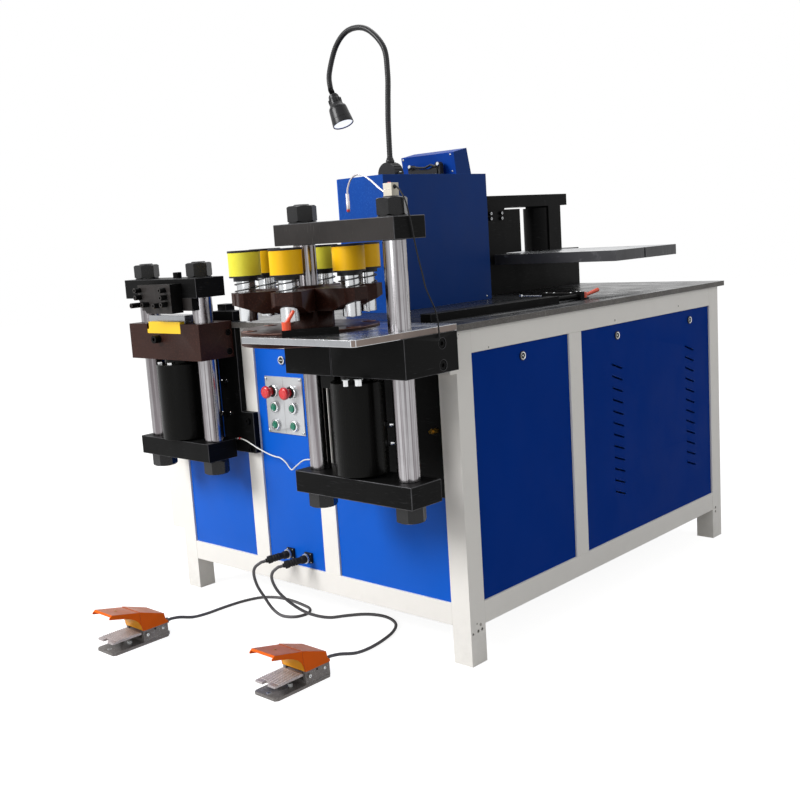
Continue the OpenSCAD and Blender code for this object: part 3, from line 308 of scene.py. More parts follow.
# painted shade: near-black for screw slots, small holes and hollows, standing in for the shade inside them
HOLE_SHADE = surface("painted_recess_shade", "0A0A0B", 0.8, var=0.2, bump=0.1, specular=0.05)
LOCK_RING = surface("lock_ring", "5E5C5E", 0.25, metal=1.0, var=0.1, bump=0.05)
BEZEL = surface("satin_bezel", "D9DADB", 0.2, metal=1.0, var=0.03, bump=0.05)
UNIT_GREY = surface("unit_grey", "5C6167", 0.45, var=0.05, bump=0.2)
NUT_BLACK = surface("nut_black", "141415", 0.28, var=0.2, var_scale=12, bump=0.2, bump_scale=300,
                    bump_mm=0.06, specular=0.3, speck=0.2, speck_col="3A3A3C", speck_scale=300)
LAMP_BLACK = surface("lamp_black", "151517", 0.36, var=0.12, bump=0.2, bump_scale=500, specular=0.3)
LENS_RIM = surface("lens_rim", "1B2A6B", 0.2, var=0.05, bump=0.05)
OFF_WHITE = surface("off_white_moulding", "DDD6C6", 0.4, var=0.04, bump=0.15, dirt=0.15, dirt_col="9A917E")
FEELER = surface("feeler_metal", "C9C3C6", 0.3, metal=0.7, var=0.05, bump=0.1)
BRASS = surface("brass_fitting", "B08A3E", 0.3, metal=0.9, var=0.08, bump=0.1)
WORN = surface("worn_spot", "A7A39B", 0.5, var=0.3, var_scale=200, bump=0.1)
TREAD = surface("treadle_alloy", "A79F9F", 0.45, metal=0.4, var=0.15, var_scale=30, speck=0.7,
                speck_scale=520, speck_col="E4DEDD", bump=0.6, bump_scale=420, bump_mm=0.3, specular=0.3)
SEAM = surface("plate_seam", "8E8A8B", 0.5, metal=0.3, var=0.05, bump=0.05)
RED_EDGE = surface("red_edge", "C41A12", 0.3, var=0.03, coat=0.4, bump=0.05)
MATT_BLACK = surface("matt_black", "161618", 0.45, var=0.12, bump=0.3, bump_scale=600, specular=0.22)


def glow(name, code, strength):
    col = linear(code)
    mat = bpy.data.materials.new(name)
    mat.use_nodes = True
    bsdf = mat.node_tree.nodes["Principled BSDF"]
    t = Nodes(mat.node_tree)
    n = t.noise(t.add("ShaderNodeTexCoord").outputs["Object"], 90.0, 2.0, 0.5)
    t.link(t.mix(t.ramp(n, 0.3, 0.7), scaled(col, 0.94), scaled(col, 1.0)), bsdf.inputs["Base Color"])
    bsdf.inputs["Roughness"].default_value = 0.2
    bsdf.inputs["Emission Color"].default_value = scaled(col, 1.0)
    bsdf.inputs["Emission Strength"].default_value = strength
    return mat


LENS = glow("lamp_lens", "F6F8FC", 0.9)


# Mesh helpers
def link(name, mesh, mats, body, smooth):
    ob = bpy.data.objects.new(name, mesh)
    scene.collection.objects.link(ob)
    for m in mats:
        mesh.materials.append(m)
    if smooth is not None:
        for p in mesh.polygons:
            p.use_smooth = True
        mesh.set_sharp_from_angle(angle=math.radians(smooth))
    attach(ob, body)
    return ob


def bevel(ob, width, segments, angle, edge_mat=None):
    """Rounded edges; width in millimetres, edge_mat the number of their finish."""
    m = ob.modifiers.new("edge", "BEVEL")
    m.width = width * MM
    m.segments = segments
    m.limit_method = "ANGLE"
    m.angle_limit = math.radians(angle)
    m.harden_normals = True
    m.use_clamp_overlap = True
    if edge_mat is not None:
        m.material = edge_mat


def islands(bm):
    """Connected groups of faces."""
    seen, out = set(), []
    for f in bm.faces:
        if f in seen:
            continue
        todo, group = [f], []
        seen.add(f)
        while todo:
            g = todo.pop()
            group.append(g)
            for k in (k for e in g.edges for k in e.link_faces if k not in seen):
                seen.add(k)
                todo.append(k)
        out.append(group)
    return out


def group_box(group):
    pts = [v.co for f in group for v in f.verts]
    return [[edge(p[i] for p in pts) * TO_MM for i in range(3)] for edge in (min, max)]


def dress(node, mats, pick=None, width=0.8, segments=2, edge=None):
    """A bevelled piece made from a CAD node's own form, with finishes chosen face by face.
    pick(box, centre, normal) and width work in millimetres."""
    bm = bmesh.new()
    bm.from_mesh(NODES[node].data)
    bmesh.ops.remove_doubles(bm, verts=bm.verts, dist=0.02 * MM)
    bmesh.ops.dissolve_limit(bm, angle_limit=math.radians(0.6), verts=bm.verts, edges=bm.edges)
    for group in islands(bm):
        box = group_box(group)
        for f in group:
            f.material_index = pick(box, f.calc_center_median() * TO_MM, f.normal) if pick else 0
    bm.normal_update()
    mesh = bpy.data.meshes.new("v_" + node)
    bm.to_mesh(mesh)
    bm.free()
    finishes = mats if edge is None else mats + [edge]
    ob = link("v_" + node, mesh, finishes, BODY_OF[node], 35.0)
    bevel(ob, width, segments, 38.0, None if edge is None else len(mats))
    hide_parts(node)


def catmull(points, steps):
    """The same line as the one swept in the part's source, with so many steps a stretch."""
    pts = [Vector(p) for p in points]
    pts = [2 * pts[0] - pts[1]] + pts + [2 * pts[-1] - pts[-2]]
    out = []
    for a, b, c, d in zip(pts, pts[1:], pts[2:], pts[3:]):
        for k in range(steps):
            t = k / steps
            out.append(0.5 * (2 * b + (c - a) * t + (2 * a - 5 * b + 4 * c - d) * t * t
                              + (3 * b - a - 3 * c + d) * t ** 3))
    return out + [pts[-2]]


def ring_angles(n):
    return [2 * math.pi * i / n for i in range(n)]


def axes_for(axis):
    """Three unit directions at right angles, the last one along the axis."""
    z = Vector(axis).normalized()
    x = X if abs(z.x) < 0.9 else Y
    x = (x - x.dot(z) * z).normalized()
    return x, z.cross(x), z


# Steps round a nut: six sides of eight
NUT_SIDES = 48


class Form:
    """Several small shapes in one piece, in millimetres, each face with its own finish."""

    def __init__(self, name, mats, body, slot, smooth=35.0, edge=0.0):
        self.name, self.mats, self.body, self.slot = name, mats, body, slot
        self.smooth, self.edge = smooth, edge
        self.bm = bmesh.new()

    def vert(self, p):
        return self.bm.verts.new(p * MM)

    def face(self, verts, mat):
        self.bm.faces.new(verts).material_index = mat

    def ring(self, centre, r, x, y, seg):
        return [self.vert(centre + r * (math.cos(a) * x + math.sin(a) * y)) for a in ring_angles(seg)]

    def band(self, a, b, mat):
        """Faces between two rings, either of which may be a single point."""
        seg = max(len(a), len(b))
        for j in range(seg):
            i = (j + 1) % seg
            corners = dict.fromkeys((a[j % len(a)], a[i % len(a)], b[i % len(b)], b[j % len(b)]))
            if len(corners) > 2:
                self.face(tuple(corners), mat)

    def lathe(self, at, axis, profile, mat=0, seg=24):
        """Rings along an axis. profile holds (height, radius) or (height, radius, finish of the band
        above)."""
        x, y, z = axes_for(axis)
        at = Vector(at)
        rows = [self.ring(at + p[0] * z, p[1], x, y, seg if p[1] > 0 else 1) for p in profile]
        for p, a, b in zip(profile, rows, rows[1:]):
            self.band(a, b, p[2] if len(p) > 2 else mat)
        return self

    def nut(self, at, axis, r, height, hole, mat=0):
        """Hexagon nut or head with chamfered corners; with hole 0 its top is closed."""
        x, y, z = axes_for(axis)
        at = Vector(at)
        flat = r * math.cos(math.pi / 6)
        round_r = flat * 0.985
        rows = [[], [], [], []]
        for a in ring_angles(NUT_SIDES):
            full = flat / math.cos((a % (math.pi / 3)) - math.pi / 6)
            drop = (full - round_r) * 0.55
            out = math.cos(a) * x + math.sin(a) * y
            for row, up, reach in zip(rows, (0, drop, height - drop, height), (round_r, full, full, round_r)):
                row.append(self.vert(at + up * z + reach * out))
        if hole:
            rows += [self.ring(at + up * z, hole, x, y, NUT_SIDES) for up in (height, 0)] + [rows[0]]
        for a, b in zip(rows, rows[1:]):
            self.band(a, b, mat)
        if not hole:
            self.face(rows[0][::-1], mat)
            self.face(rows[3], mat)
        return self

    def block(self, lo, hi, mat=0, place=Matrix()):
        """A box between two corners, set in a place."""
        v = [self.vert(place @ Vector((x, y, z))) for z in (lo[2], hi[2]) for y in (lo[1], hi[1])
             for x in (lo[0], hi[0])]
        for q in ((0, 2, 3, 1), (4, 5, 7, 6), (0, 1, 5, 4), (2, 6, 7, 3), (0, 4, 6, 2), (1, 3, 7, 5)):
            self.face([v[i] for i in q], mat)
        return self

    def prism(self, points, depth, place, mat=0, sides=0):
        """A closed outline in the XY plane of the place, made thick along its Z."""
        lo, hi = ([self.vert(place @ Vector((x, y, z))) for x, y in points] for z in (0, depth))
        self.face(lo[::-1], mat)
        self.face(hi, mat)
        self.band(lo, hi, sides)
        return self

    def tube(self, points, r, mat=0, sides=12, side=None):
        """A tube swept along points; r is a number or a function of the share of the way."""
        line = [Vector(p) for p in points]
        last = len(line) - 1
        if side is None:
            side = (line[1] - line[0]).normalized().orthogonal()
        rows = []
        for i, p in enumerate(line):
            ahead = (line[min(last, i + 1)] - line[max(0, i - 1)]).normalized()
            side = (side - side.dot(ahead) * ahead).normalized()
            rows.append(self.ring(p, r(i / last) if callable(r) else r, side, ahead.cross(side), sides))
        for a, b in zip(rows, rows[1:]):
            self.band(a, b, mat)
        self.face(rows[0][::-1], mat)
        self.face(rows[-1], mat)
        return self

    def slot_screw(self, at, axis, r, height, mat=0, inner=0, turn=0.5):
        """Low rounded screw head with its slot drawn as a dark bar, painted shade."""
        self.lathe(at, axis, [(0, r), (height * 0.45, r), (height * 0.85, r * 0.8), (height, r * 0.45),
                              (height, 0)], mat)
        x, _, z = axes_for(axis)
        x = Matrix.Rotation(turn, 3, z) @ x
        return self.block((-r * 0.72, -r * 0.11, height * 0.7), (r * 0.72, r * 0.11, height * 1.04), inner,
                          frame_at(x, z.cross(x), z, at))

    def done(self, *nodes):
        bmesh.ops.remove_doubles(self.bm, verts=self.bm.verts, dist=0.001 * MM)
        bmesh.ops.recalc_face_normals(self.bm, faces=self.bm.faces)
        mesh = bpy.data.meshes.new(self.name)
        self.bm.to_mesh(mesh)
        self.bm.free()
        ob = link(self.name, mesh, self.mats, self.body, self.smooth)
        if self.edge:
            bevel(ob, self.edge, 2, 40)
        if nodes:
            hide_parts(*nodes)
        return ob


# Cords; the routes repeat the source, in metres
LEFT_ROUTE = [(-0.10006, -0.76508, 0.18598), (-0.10447, -0.77142, 0.18432), (-0.10893, -0.77784, 0.18265),
              (-0.128, -0.786, 0.166), (-0.147, -0.776, 0.136), (-0.152, -0.762, 0.098), (-0.15, -0.742, 0.06),
              (-0.14, -0.726, 0.024), (-0.115, -0.722, 0.008), (-0.085, -0.722, 0.006),
              (-0.054, -0.704, 0.006), (-0.046, -0.666, 0.006), (-0.072, -0.636, 0.006),
              (-0.12, -0.624, 0.006), (-0.18, -0.618, 0.006), (-0.235, -0.624, 0.006), (-0.278, -0.652, 0.006),
              (-0.3, -0.704, 0.006), (-0.308, -0.77, 0.006), (-0.31, -0.84, 0.006), (-0.31, -0.89, 0.011),
              (-0.31, -0.935, 0.025), (-0.31, -0.963, 0.03), (-0.31, -0.971, 0.03), (-0.31, -0.9789, 0.03)]
RIGHT_ROUTE = [(-0.02506, -0.76508, 0.18398), (-0.02947, -0.77142, 0.18232), (-0.03393, -0.77784, 0.18065),
               (-0.053, -0.784, 0.162), (-0.068, -0.772, 0.13), (-0.066, -0.75, 0.088),
               (-0.042, -0.714, 0.042), (-0.008, -0.688, 0.018), (0.032, -0.656, 0.006),
               (0.066, -0.616, 0.006), (0.104, -0.578, 0.006), (0.15, -0.56, 0.006), (0.196, -0.564, 0.006),
               (0.238, -0.588, 0.006), (0.268, -0.632, 0.006), (0.286, -0.686, 0.006), (0.296, -0.75, 0.006),
               (0.295, -0.805, 0.009), (0.292, -0.86, 0.024), (0.291, -0.893, 0.03), (0.291, -0.901, 0.03),
               (0.291, -0.9089, 0.03)]
WHITE_ROUTE = [(-0.254, -0.714, 0.528), (-0.244, -0.7145, 0.5295), (-0.233, -0.715, 0.5295),
               (-0.21, -0.715, 0.526), (-0.184, -0.7145, 0.517), (-0.157, -0.714, 0.507),
               (-0.13, -0.712, 0.498), (-0.107, -0.71, 0.491), (-0.084, -0.709, 0.487),
               (-0.065, -0.708, 0.485), (-0.042, -0.708, 0.474), (-0.02, -0.708, 0.455),
               (0.002, -0.708, 0.468), (0.032, -0.706, 0.487), (0.058, -0.702, 0.491),
               (0.084, -0.695, 0.489)]
SENSOR_ROUTE = [(0.5966, -0.867, 1.208), (0.601, -0.867, 1.208), (0.606, -0.868, 1.2055),
                (0.615, -0.869, 1.197), (0.626, -0.871, 1.183), (0.634, -0.872, 1.166),
                (0.6375, -0.87, 1.145), (0.638, -0.864, 1.12), (0.638, -0.856, 1.08),
                (0.6375, -0.846, 1.041), (0.637, -0.835, 1.005), (0.6365, -0.827, 0.977),
                (0.636, -0.811, 0.948), (0.635, -0.797, 0.924), (0.634, -0.789, 0.9),
                (0.6335, -0.786, 0.876), (0.633, -0.785, 0.854)]
CORD_R = 0.0045


def make_cord(name, route, radius, mat, slot, node, sides=10):
    line = catmull(route, 5)
    f = Form(name, [mat], "base", slot, smooth=60)
    f.tube([p / MM for p in line], radius / MM, 0, sides, Z)
    return f.done(node), line


for cord_name, route, node in (("left_pedal_cord", LEFT_ROUTE, "cord_left"),
                               ("right_pedal_cord", RIGHT_ROUTE, "cord_right")):
    ob, line = make_cord(cord_name, route, CORD_R, CORD_GREY, "rubber_black", node, 12)
ob, line = make_cord("white_lead", WHITE_ROUTE, 0.002, WHITE_PLASTIC, "white_plastic", "thin_leads")
ob, line = make_cord("sensor_lead", SENSOR_ROUTE, 0.0018, MATT_BLACK, "white_plastic", "thin_leads")


def plug_radius(t):
    """Coupling nut, neck, grooved body, gland nut and sleeve of a plug, by the share of its length."""
    if t < 0.40:
        return 11.8 - (0.6 if int(t * 50) % 2 else 0.0)
    if t < 0.50:
        return 9.6
    if t < 0.80:
        return 11.0 - (1.2 if int(t * 26) % 2 else 0.0)
    return 11.5 if t < 0.94 else 6.6


# Bent plugs, each up to the first point of its cord
for name, start, end in (("left_plug", (-75, -700, 194), (-100, -765, 186)),
                         ("right_plug", (2, -700, 192), (-25, -765, 184))):
    start, end = Vector(start), Vector(end)
    line = catmull([start, start - 14 * Y, end + Vector((16, 23, 6)), end], 24)
    Form(name, [RUBBER], "base", "rubber_black", smooth=40).tube(line, plug_radius, 0, 24, Z).done("cord_plugs")

# The cabinet
dress("frame_uprights", [WHITE], width=2.5, segments=3, edge=WHITE_EDGE)
dress("frame_rails", [WHITE], width=2.5, segments=3, edge=WHITE_EDGE)
dress("frame_fittings", [WHITE], width=1.2)
dress("table_top", [TABLE, TABLE_SIDE], lambda b, c, n: 0 if abs(n.z) > 0.7 else 1, width=1.0, edge=TABLE_EDGE)
# bevelled edges of the blue parts in a lighter blue, a painted highlight
dress("fixed_panels", [BLUE], width=0.6, edge=BLUE_EDGE_HIGHLIGHT)
# side panels in the darker blue of painted shade
dress("side_panel_front", [BLUE_SIDE_SHADE], width=0.6, edge=BLUE_EDGE_HIGHLIGHT)
dress("side_panel_rear", [BLUE_SIDE_SHADE], width=0.4, edge=BLUE_EDGE_HIGHLIGHT)
for lock in ("lock_side", "lock_rear_1", "lock_rear_2"):
    dress(lock, [MATT_BLACK], width=0.6)
dress("inner_units", [UNIT_GREY], width=1.5)
# faces turned to +X take the darker blue of painted shade
dress("electric_box", [BLUE_FRONT, BLUE_BOX_SHADE], lambda b, c, n: 1 if n.x > 0.7 else 0, width=1.5, segments=3,
      edge=BLUE_EDGE_HIGHLIGHT)
dress("electric_door", [BLUE], edge=BLUE_EDGE_HIGHLIGHT)


def pick_box_fit(b, c, n):
    """The console alone is that high: blue darkened as painted shade, and darker still at its +X side as
    painted shade. The clip and the foot are black.
    """
    if b[1][2] > 1330:
        return 2 if n.x > 0.7 else 0
    return 1


dress("box_fittings", [BLUE_CONSOLE_SHADE, MATT_BLACK, BLUE_BOX_SHADE], pick_box_fit, width=1.2)

# Punch
dress("punch_block", [BLACK], width=1.5, edge=BLACK_EDGE)
# +X faces of the punch plate in the darker steel of painted shade
dress("punch_plate", [STEEL, PLATE_SIDE_SHADE], lambda b, c, n: 1 if n.x > 0.6 else 0, width=1.0, edge=BRIGHT)
# front face of the beam in the lighter black of painted light
dress("punch_yoke", [BLACK, BLACK_LIT_FACE], lambda b, c, n: 1 if n.y < -0.7 and c.z > 900 else 0, width=2.0,
      edge=BLACK_EDGE)
dress("cylinder_barrels", [GLOSS_BLACK], width=1.5)
dress("turret_star", [BROWN], width=2.0, edge=BROWN_EDGE)
dress("turret_disc", [BROWN], width=1.5, edge=BROWN_EDGE)
dress("turret_lever", [ORANGE_LEVER], width=0.5)


def pick_tool(b, c, n):
    """From the top: black cap, coloured pad, black ring, bright shank, by height."""
    if c[2] > 1081 or 1012 < c[2] < 1025.4:
        return 1
    return 0 if c[2] >= 1025 else 2


for i in range(1, 7):
    pad = LIME_PAD if i in (3, 5) else YELLOW_PAD
    dress("punch_tool_%d" % i, [pad, MATT_BLACK, BRIGHT], pick_tool)

# Shear
dress("shear_block", [BROWN], width=2.0, edge=BROWN_EDGE)
dress("shear_lower_tools", [YELLOW_BLADE, STEEL],
      lambda b, c, n: 0 if b[0][1] < -811 and b[1][1] < -812.5 else 1, width=1.0)
dress("shear_back_plate", [BLACK], width=1.2, edge=BLACK_EDGE)
dress("shear_yoke", [BLACK], width=2.0, edge=BLACK_EDGE)
# front faces of the blade holder in the lighter black of painted light
dress("blade_holder", [BLACK, BLACK_LIT_FACE], lambda b, c, n: 1 if n.y < -0.7 else 0, width=1.0, edge=BLACK_EDGE)


def pick_fix(b, c, n):
    """Zinc for the screws beside the punch barrel and for those of the station plate."""
    if b[0][0] > 300 and b[1][2] < 775 and b[1][0] < 520 and b[1][2] - b[0][2] < 17:
        return 1
    return 1 if b[1][0] - b[0][0] < 7 and b[1][1] - b[0][1] < 4 else 0


dress("fixings", [BLACK, ZINC], pick_fix, width=0.6)

# Controls
dress("panel_fittings", [ALU, MATT_BLACK], lambda b, c, n: 0 if b[1][0] - b[0][0] > 150 else 1, width=0.6)

# Bender and gauge
dress("bend_frame", [BLACK], width=1.5, edge=BLACK_EDGE)
dress("bend_plate", [STEEL, PLATE_DARK], lambda b, c, n: 0 if n.z > 0.7 else 1, width=1.0, edge=PLATE_DARK)
dress("bend_ram", [BLACK], width=1.2, edge=BLACK_EDGE)
dress("guide_rail", [BLACK], edge=BLACK_EDGE)
dress("gauge_rod", [BLACK])
dress("gauge_lever", [ORANGE_LEVER], width=0.5)

# Foot switches
dress("pedal_bases", [CAST])
# tops of the hoods in the paler orange of painted sheen
dress("pedal_hoods", [ORANGE, ORANGE_TOP_SHEEN], lambda b, c, n: 1 if n.z > 0.8 else 0)
dress("treadle_1", [TREAD], width=0.4)
dress("treadle_2", [TREAD], width=0.4)

# Places that the small parts share (millimetres)
FRONT, SIDE, LOCK_Z = -690, 600, 766
PUNCH_X, PUNCH_Y, PIVOT_X, POST_X = 431, -865, 279, 583
SPRING_LOW, SPRING_HIGH = 985.7, 1010.3
SPRING_RING, SPRING_R, SPRING_WIRE, SPRING_TURNS, SPRING_STEPS = 152, 27.5, 1.5, 1.5, 72
SHEAR_C, SHEAR_Y, SHEAR_HALF = -402, -781, 131
PLATE_X, PLATE_Z, LEFT_BUTTONS, RIGHT_BUTTONS = -50.5, 636, -40.5, 37.5
UPPER_ROW, LOWER_ROW, STOP_ROW = -6, -57, 41
LAMP_X, LAMP_Y = 75, -315
NUT_R = 37.5


def ram_columns(name, node, body, xs, y, r, low, high, stub, stub_low, stub_high, beam_top, plate_low):
    """Ground columns with threaded ends, washers and chamfered nuts, in place of the plain node."""
    f = Form(name, [CHROME, NUT_BLACK, BLACK_EDGE], body, "chrome", smooth=28)
    for x in xs:
        f.lathe((x, y, 0), Z, [(low, stub - 1), (low, r - 1.2), (low + 1.2, r), (high - 1.2, r),
                               (high, r - 1.2), (high, stub - 1)], 0, 64)
        f.lathe((x, y, 0), Z, [(stub_low, 0), (stub_low, stub - 2.5), (stub_low + 2, stub - 0.5),
                               (stub_high - 2, stub - 0.5, 2), (stub_high, stub - 2.5), (stub_high, 5),
                               (stub_high - 4, 4.5), (stub_high - 4, 0)], 1, 48)
        for z in (beam_top + 3, plate_low - 43):
            f.nut((x, y, z), Z, NUT_R, 40, stub - 0.5, 1)
        for z in (beam_top, plate_low - 3):
            f.lathe((x, y, z), Z, [(0, stub), (0, 35), (0.5, 35.5), (2.5, 35.5), (3, 35), (3, stub)], 1, 48)
    f.done(node)


ram_columns("punch_posts", "punch_columns", "punch_ram", (PIVOT_X, POST_X), PUNCH_Y, r=27.5, low=525,
            high=1090, stub=20.5, stub_low=424, stub_high=1188, beam_top=1142, plate_low=470)
ram_columns("shear_posts", "shear_columns", "shear_ram", (SHEAR_C - SHEAR_HALF, SHEAR_C + SHEAR_HALF), SHEAR_Y,
            r=30, low=532, high=957, stub=21, stub_low=431, stub_high=1059, beam_top=1013, plate_low=477)

# Button station: rings, then the seam between the two halves of the plate and its four screws
f = Form("station_trim", [BEZEL, MATT_BLACK, HOLE_SHADE, ZINC, SEAM], "base", "alu_plate", smooth=40)
for x in (PLATE_X + LEFT_BUTTONS, PLATE_X + RIGHT_BUTTONS):
    for z in (PLATE_Z + UPPER_ROW, PLATE_Z + LOWER_ROW):
        f.lathe((x, FRONT - 4, z), -Y, [(-2, 15.2), (-1, 15.9), (0.8, 15.2), (1.6, 13.6), (1.4, 12.0),
                                        (0.2, 10.9), (-2, 10.8)], 0, 40)
    f.lathe((x, FRONT - 10, PLATE_Z + STOP_ROW), -Y, [(-8, 17.2, 0), (-5, 17.6, 0), (-4.2, 16.4), (0, 16.2),
                                                      (0.6, 15), (0.6, 11.3)], 1, 40)
f.block((PLATE_X - 2.0, FRONT + 1.75, PLATE_Z - 80), (PLATE_X - 1.2, FRONT + 2.05, PLATE_Z + 80), 4)
for x in (-73, 73):
    for z in (-76, 76):
        f.slot_screw((PLATE_X + x, FRONT - 1, PLATE_Z + z), -Y, 3.4, 1.6, 3, 2, 0.6 + z * 0.01)
# frame of the station plate
for z in (-82.4, 81.4):
    f.block((PLATE_X - 79, FRONT + 1.6, PLATE_Z + z), (PLATE_X + 79, FRONT + 2.1, PLATE_Z + z + 1), 3)
for x in (-78.9, 77.9):
    f.block((PLATE_X + x, FRONT + 1.6, PLATE_Z - 82), (PLATE_X + x + 1, FRONT + 2.1, PLATE_Z + 82), 3)
# lock of the middle panel
f.lathe((-50, FRONT + 1, 767), -Y, [(-3, 12.4), (0.6, 12.6), (1.8, 11.4), (1.6, 9.4), (0.4, 8.6, 1), (0.4, 0)],
        0, 40)
f.block((-56, FRONT - 0.2, 765.4), (-44, FRONT + 0.8, 768.6), 3)
f.done()

for name, x in (("estop_1", LEFT_BUTTONS), ("estop_2", RIGHT_BUTTONS)):
    f = Form(name + "_knob", [RED, RED_EDGE], BODY_OF[name], "red_plastic", smooth=50)
    f.lathe((PLATE_X + x, FRONT, PLATE_Z + STOP_ROW), -Y, [
        (-18, 0), (-18, 11), (23, 11), (23.5, 15.5), (24.5, 17.4), (26.5, 18, 1), (31, 18), (34, 16.9),
        (36, 14.2), (36.9, 10.5), (36.6, 8.5), (36.2, 4), (36.2, 0)], 0, 48)
    f.done(name)
for i, (x, z) in enumerate(((LEFT_BUTTONS, UPPER_ROW), (RIGHT_BUTTONS, UPPER_ROW),
                            (LEFT_BUTTONS, LOWER_ROW), (RIGHT_BUTTONS, LOWER_ROW)), 1):
    name = "button_%d" % i
    f = Form(name + "_cap", [GREEN], BODY_OF[name], "green_plastic", smooth=50)
    f.lathe((PLATE_X + x, FRONT, PLATE_Z + z), -Y, [(-18, 0), (-18, 10.4), (6.6, 10.4), (7.8, 9.9),
                                                    (8.2, 9.0), (7.4, 7.6), (7.0, 0)], 0, 40)
    f.done(name)

# Sockets of the pedal cords
f = Form("cord_sockets", [MATT_BLACK, ZINC, HOLE_SHADE], "base", "rubber_black", edge=0.6)
for x, z in ((-75, 194), (2, 192)):
    f.block((x - 15, FRONT - 1.6, z - 15), (x + 15, FRONT + 1.2, z + 15))
    f.lathe((x, FRONT - 1.5, z), -Y, [(0, 14), (1.5, 14), (2.2, 13.2), (7, 13.2), (7.6, 12.8, 1),
                                      (8, 14.4, 1), (12.5, 14.4, 1), (13.2, 12.2, 1), (13.2, 8)], 0, 40)
    for a in (-11.5, 11.5):
        for b in (-11.5, 11.5):
            f.slot_screw((x + a, FRONT - 1.6, z + b), -Y, 1.9, 1.0, 1, 2)
f.done()

# Locks of the side panels
for name, y in (("lock_side", -414), ("lock_rear_1", 55), ("lock_rear_2", 498)):
    f = Form(name + "_face", [LOCK_RING, MATT_BLACK, HOLE_SHADE, BEZEL], BODY_OF[name], "black_steel")
    f.lathe((SIDE - 1, y, LOCK_Z), X, [(-3, 12), (-0.6, 12.2), (0.5, 11.0), (0.7, 9.6, 3), (0.4, 8.6, 3),
                                       (-0.6, 7.6, 1), (-0.6, 5.4, 2), (-3.5, 4.8, 2), (-3.5, 0)], 0, 40)
    f.lathe((SIDE - 1, y, LOCK_Z), X, [(-3, 4.2), (-0.6, 4.0), (-0.6, 0)], 3, 3)
    f.done()

# Painted glints: bright rings on the socket heads of the bender bar, with centres in painted shade
f = Form("socket_glints", [BRIGHT, HOLE_SHADE], "base", "black_steel")
for y, z in ((196, 1147), (255, 1147), (255, 1130), (196, 1130)):
    f.lathe((45, y, z), X, [(0, 4.4), (0.6, 4.4), (0.6, 2.6, 1), (0.2, 2.5, 1), (0.2, 0)])
f.done()

# Gauge: cross bar on the stop block, thin rod with a knob, screws and the pin of the lever
RAIL = Matrix.Translation((469, -644, 0)) @ Matrix.Rotation(math.radians(-3.4), 4, "Z")
f = Form("gauge_trim", [BLACK, BLACK_LIT_FACE, BRIGHT, HOLE_SHADE, ZINC], BODY_OF["gauge_rod"], "black_steel", edge=0.6)
f.block((-134, 636, 878.5), (-13.5, 650, 896), 0, RAIL)
# painted light: a thin sheet in the lighter black over the top of the bar
f.block((-132, 637.5, 895.8), (-15, 648.5, 896.6), 1, RAIL)
f.lathe(RAIL @ Vector((-226, 645, 886)), RAIL.to_3x3() @ X,
        [(0, 0), (0, 4.6), (1, 5.4), (9, 5.4), (10, 4.6), (12, 2.6), (93, 2.6)], 2)
for x in (-120, -92, -30):
    f.slot_screw(RAIL @ Vector((x, 643, 896.4)), Z, 3.4, 1.6, 4, 3, 0.6)
for x in (-7, 7):
    f.slot_screw(RAIL @ Vector((x, 642, 899.8)), Z, 3.2, 1.4, 4, 3, 0.9)
f.done()
f = Form("lever_pin", [BRIGHT], BODY_OF["gauge_lever"], "orange_metal")
f.lathe(RAIL @ Vector((0, 664, 896.5)), Z,
        [(-1, 4.2), (0.4, 4.2), (0.4, 3.2), (3.0, 3.2), (3.6, 2.5), (3.6, 0)])
f.done()

# Bead and sleeve at the start of the white lead
f = Form("lead_bead", [RED, BRIGHT], "base", "white_plastic")
f.lathe((-250, -714, 528.6), (1, 0, 0.06), [(-2, 2.6), (4, 2.6), (5, 2.1), (12, 2.1), (12.4, 3.2, 0),
                                            (18.5, 3.4, 0), (19.2, 2.0, 0), (19.2, 0)], 1, 20)
f.done()

# Small slots and knocks on the corner post under the table; the slots are dark marks of painted shade, the
# knocks are wear
f = Form("post_marks", [HOLE_SHADE, WORN], "base", "white_paint", smooth=None)
for y, z, w, t in ((-688.5, 845, 1.2, 14), (-681.5, 843, 1.8, 4), (-690.0, 857, 2.6, 2.4),
                   (-676, 851, 1.0, 1.6)):
    f.lathe((SIDE, y, z), X, [(-0.5, w), (0.25, w), (0.25, 0)], 0, 14)
    f.block((SIDE - 0.5, y - w * 0.6, z - t / 2), (SIDE + 0.25, y + w * 0.6, z + t / 2))
for y, z, w in ((-650, 103, 5), (-664, 109, 3), (-560, 806, 3), (40, 812, 4), (420, 818, 3)):
    f.lathe((SIDE, y, z), X, [(-0.5, w), (0.15, w * 0.9), (0.15, 0)], 1, 9)
f.done()

# Lamp
ARM = [(x, LAMP_Y, z) for x, z in (
    (LAMP_X, 1316), (77, 1418), (82, 1489), (87, 1561), (77, 1637), (14, 1697), (-60, 1706), (-117, 1669),
    (-154, 1595), (-153.5, 1550.5), (-149.75, 1541.3), (-146, 1532))]
f = Form("lamp_gooseneck", [LAMP_BLACK], BODY_OF["lamp_arm"], "lamp_black", smooth=70)
f.tube(catmull(ARM, 40), lambda t: 8.5 - 0.95 * (0.5 + 0.5 * math.cos(2 * math.pi * t * 158)), 0, 18)
f.lathe((LAMP_X, LAMP_Y, 1271), Z, [(8, 0), (8, 8), (34, 8), (36, 10.5), (38.3, 12.6), (44, 12.6), (46, 11),
                                    (52, 9.6), (53, 8)], 0, 36)
f.done("lamp_arm")
HEAD = Vector((0.3748, 0, -0.9271))
f = Form("lamp_shade", [LAMP_BLACK, LENS, LENS_RIM], BODY_OF["lamp_head"], "lamp_black", smooth=30)
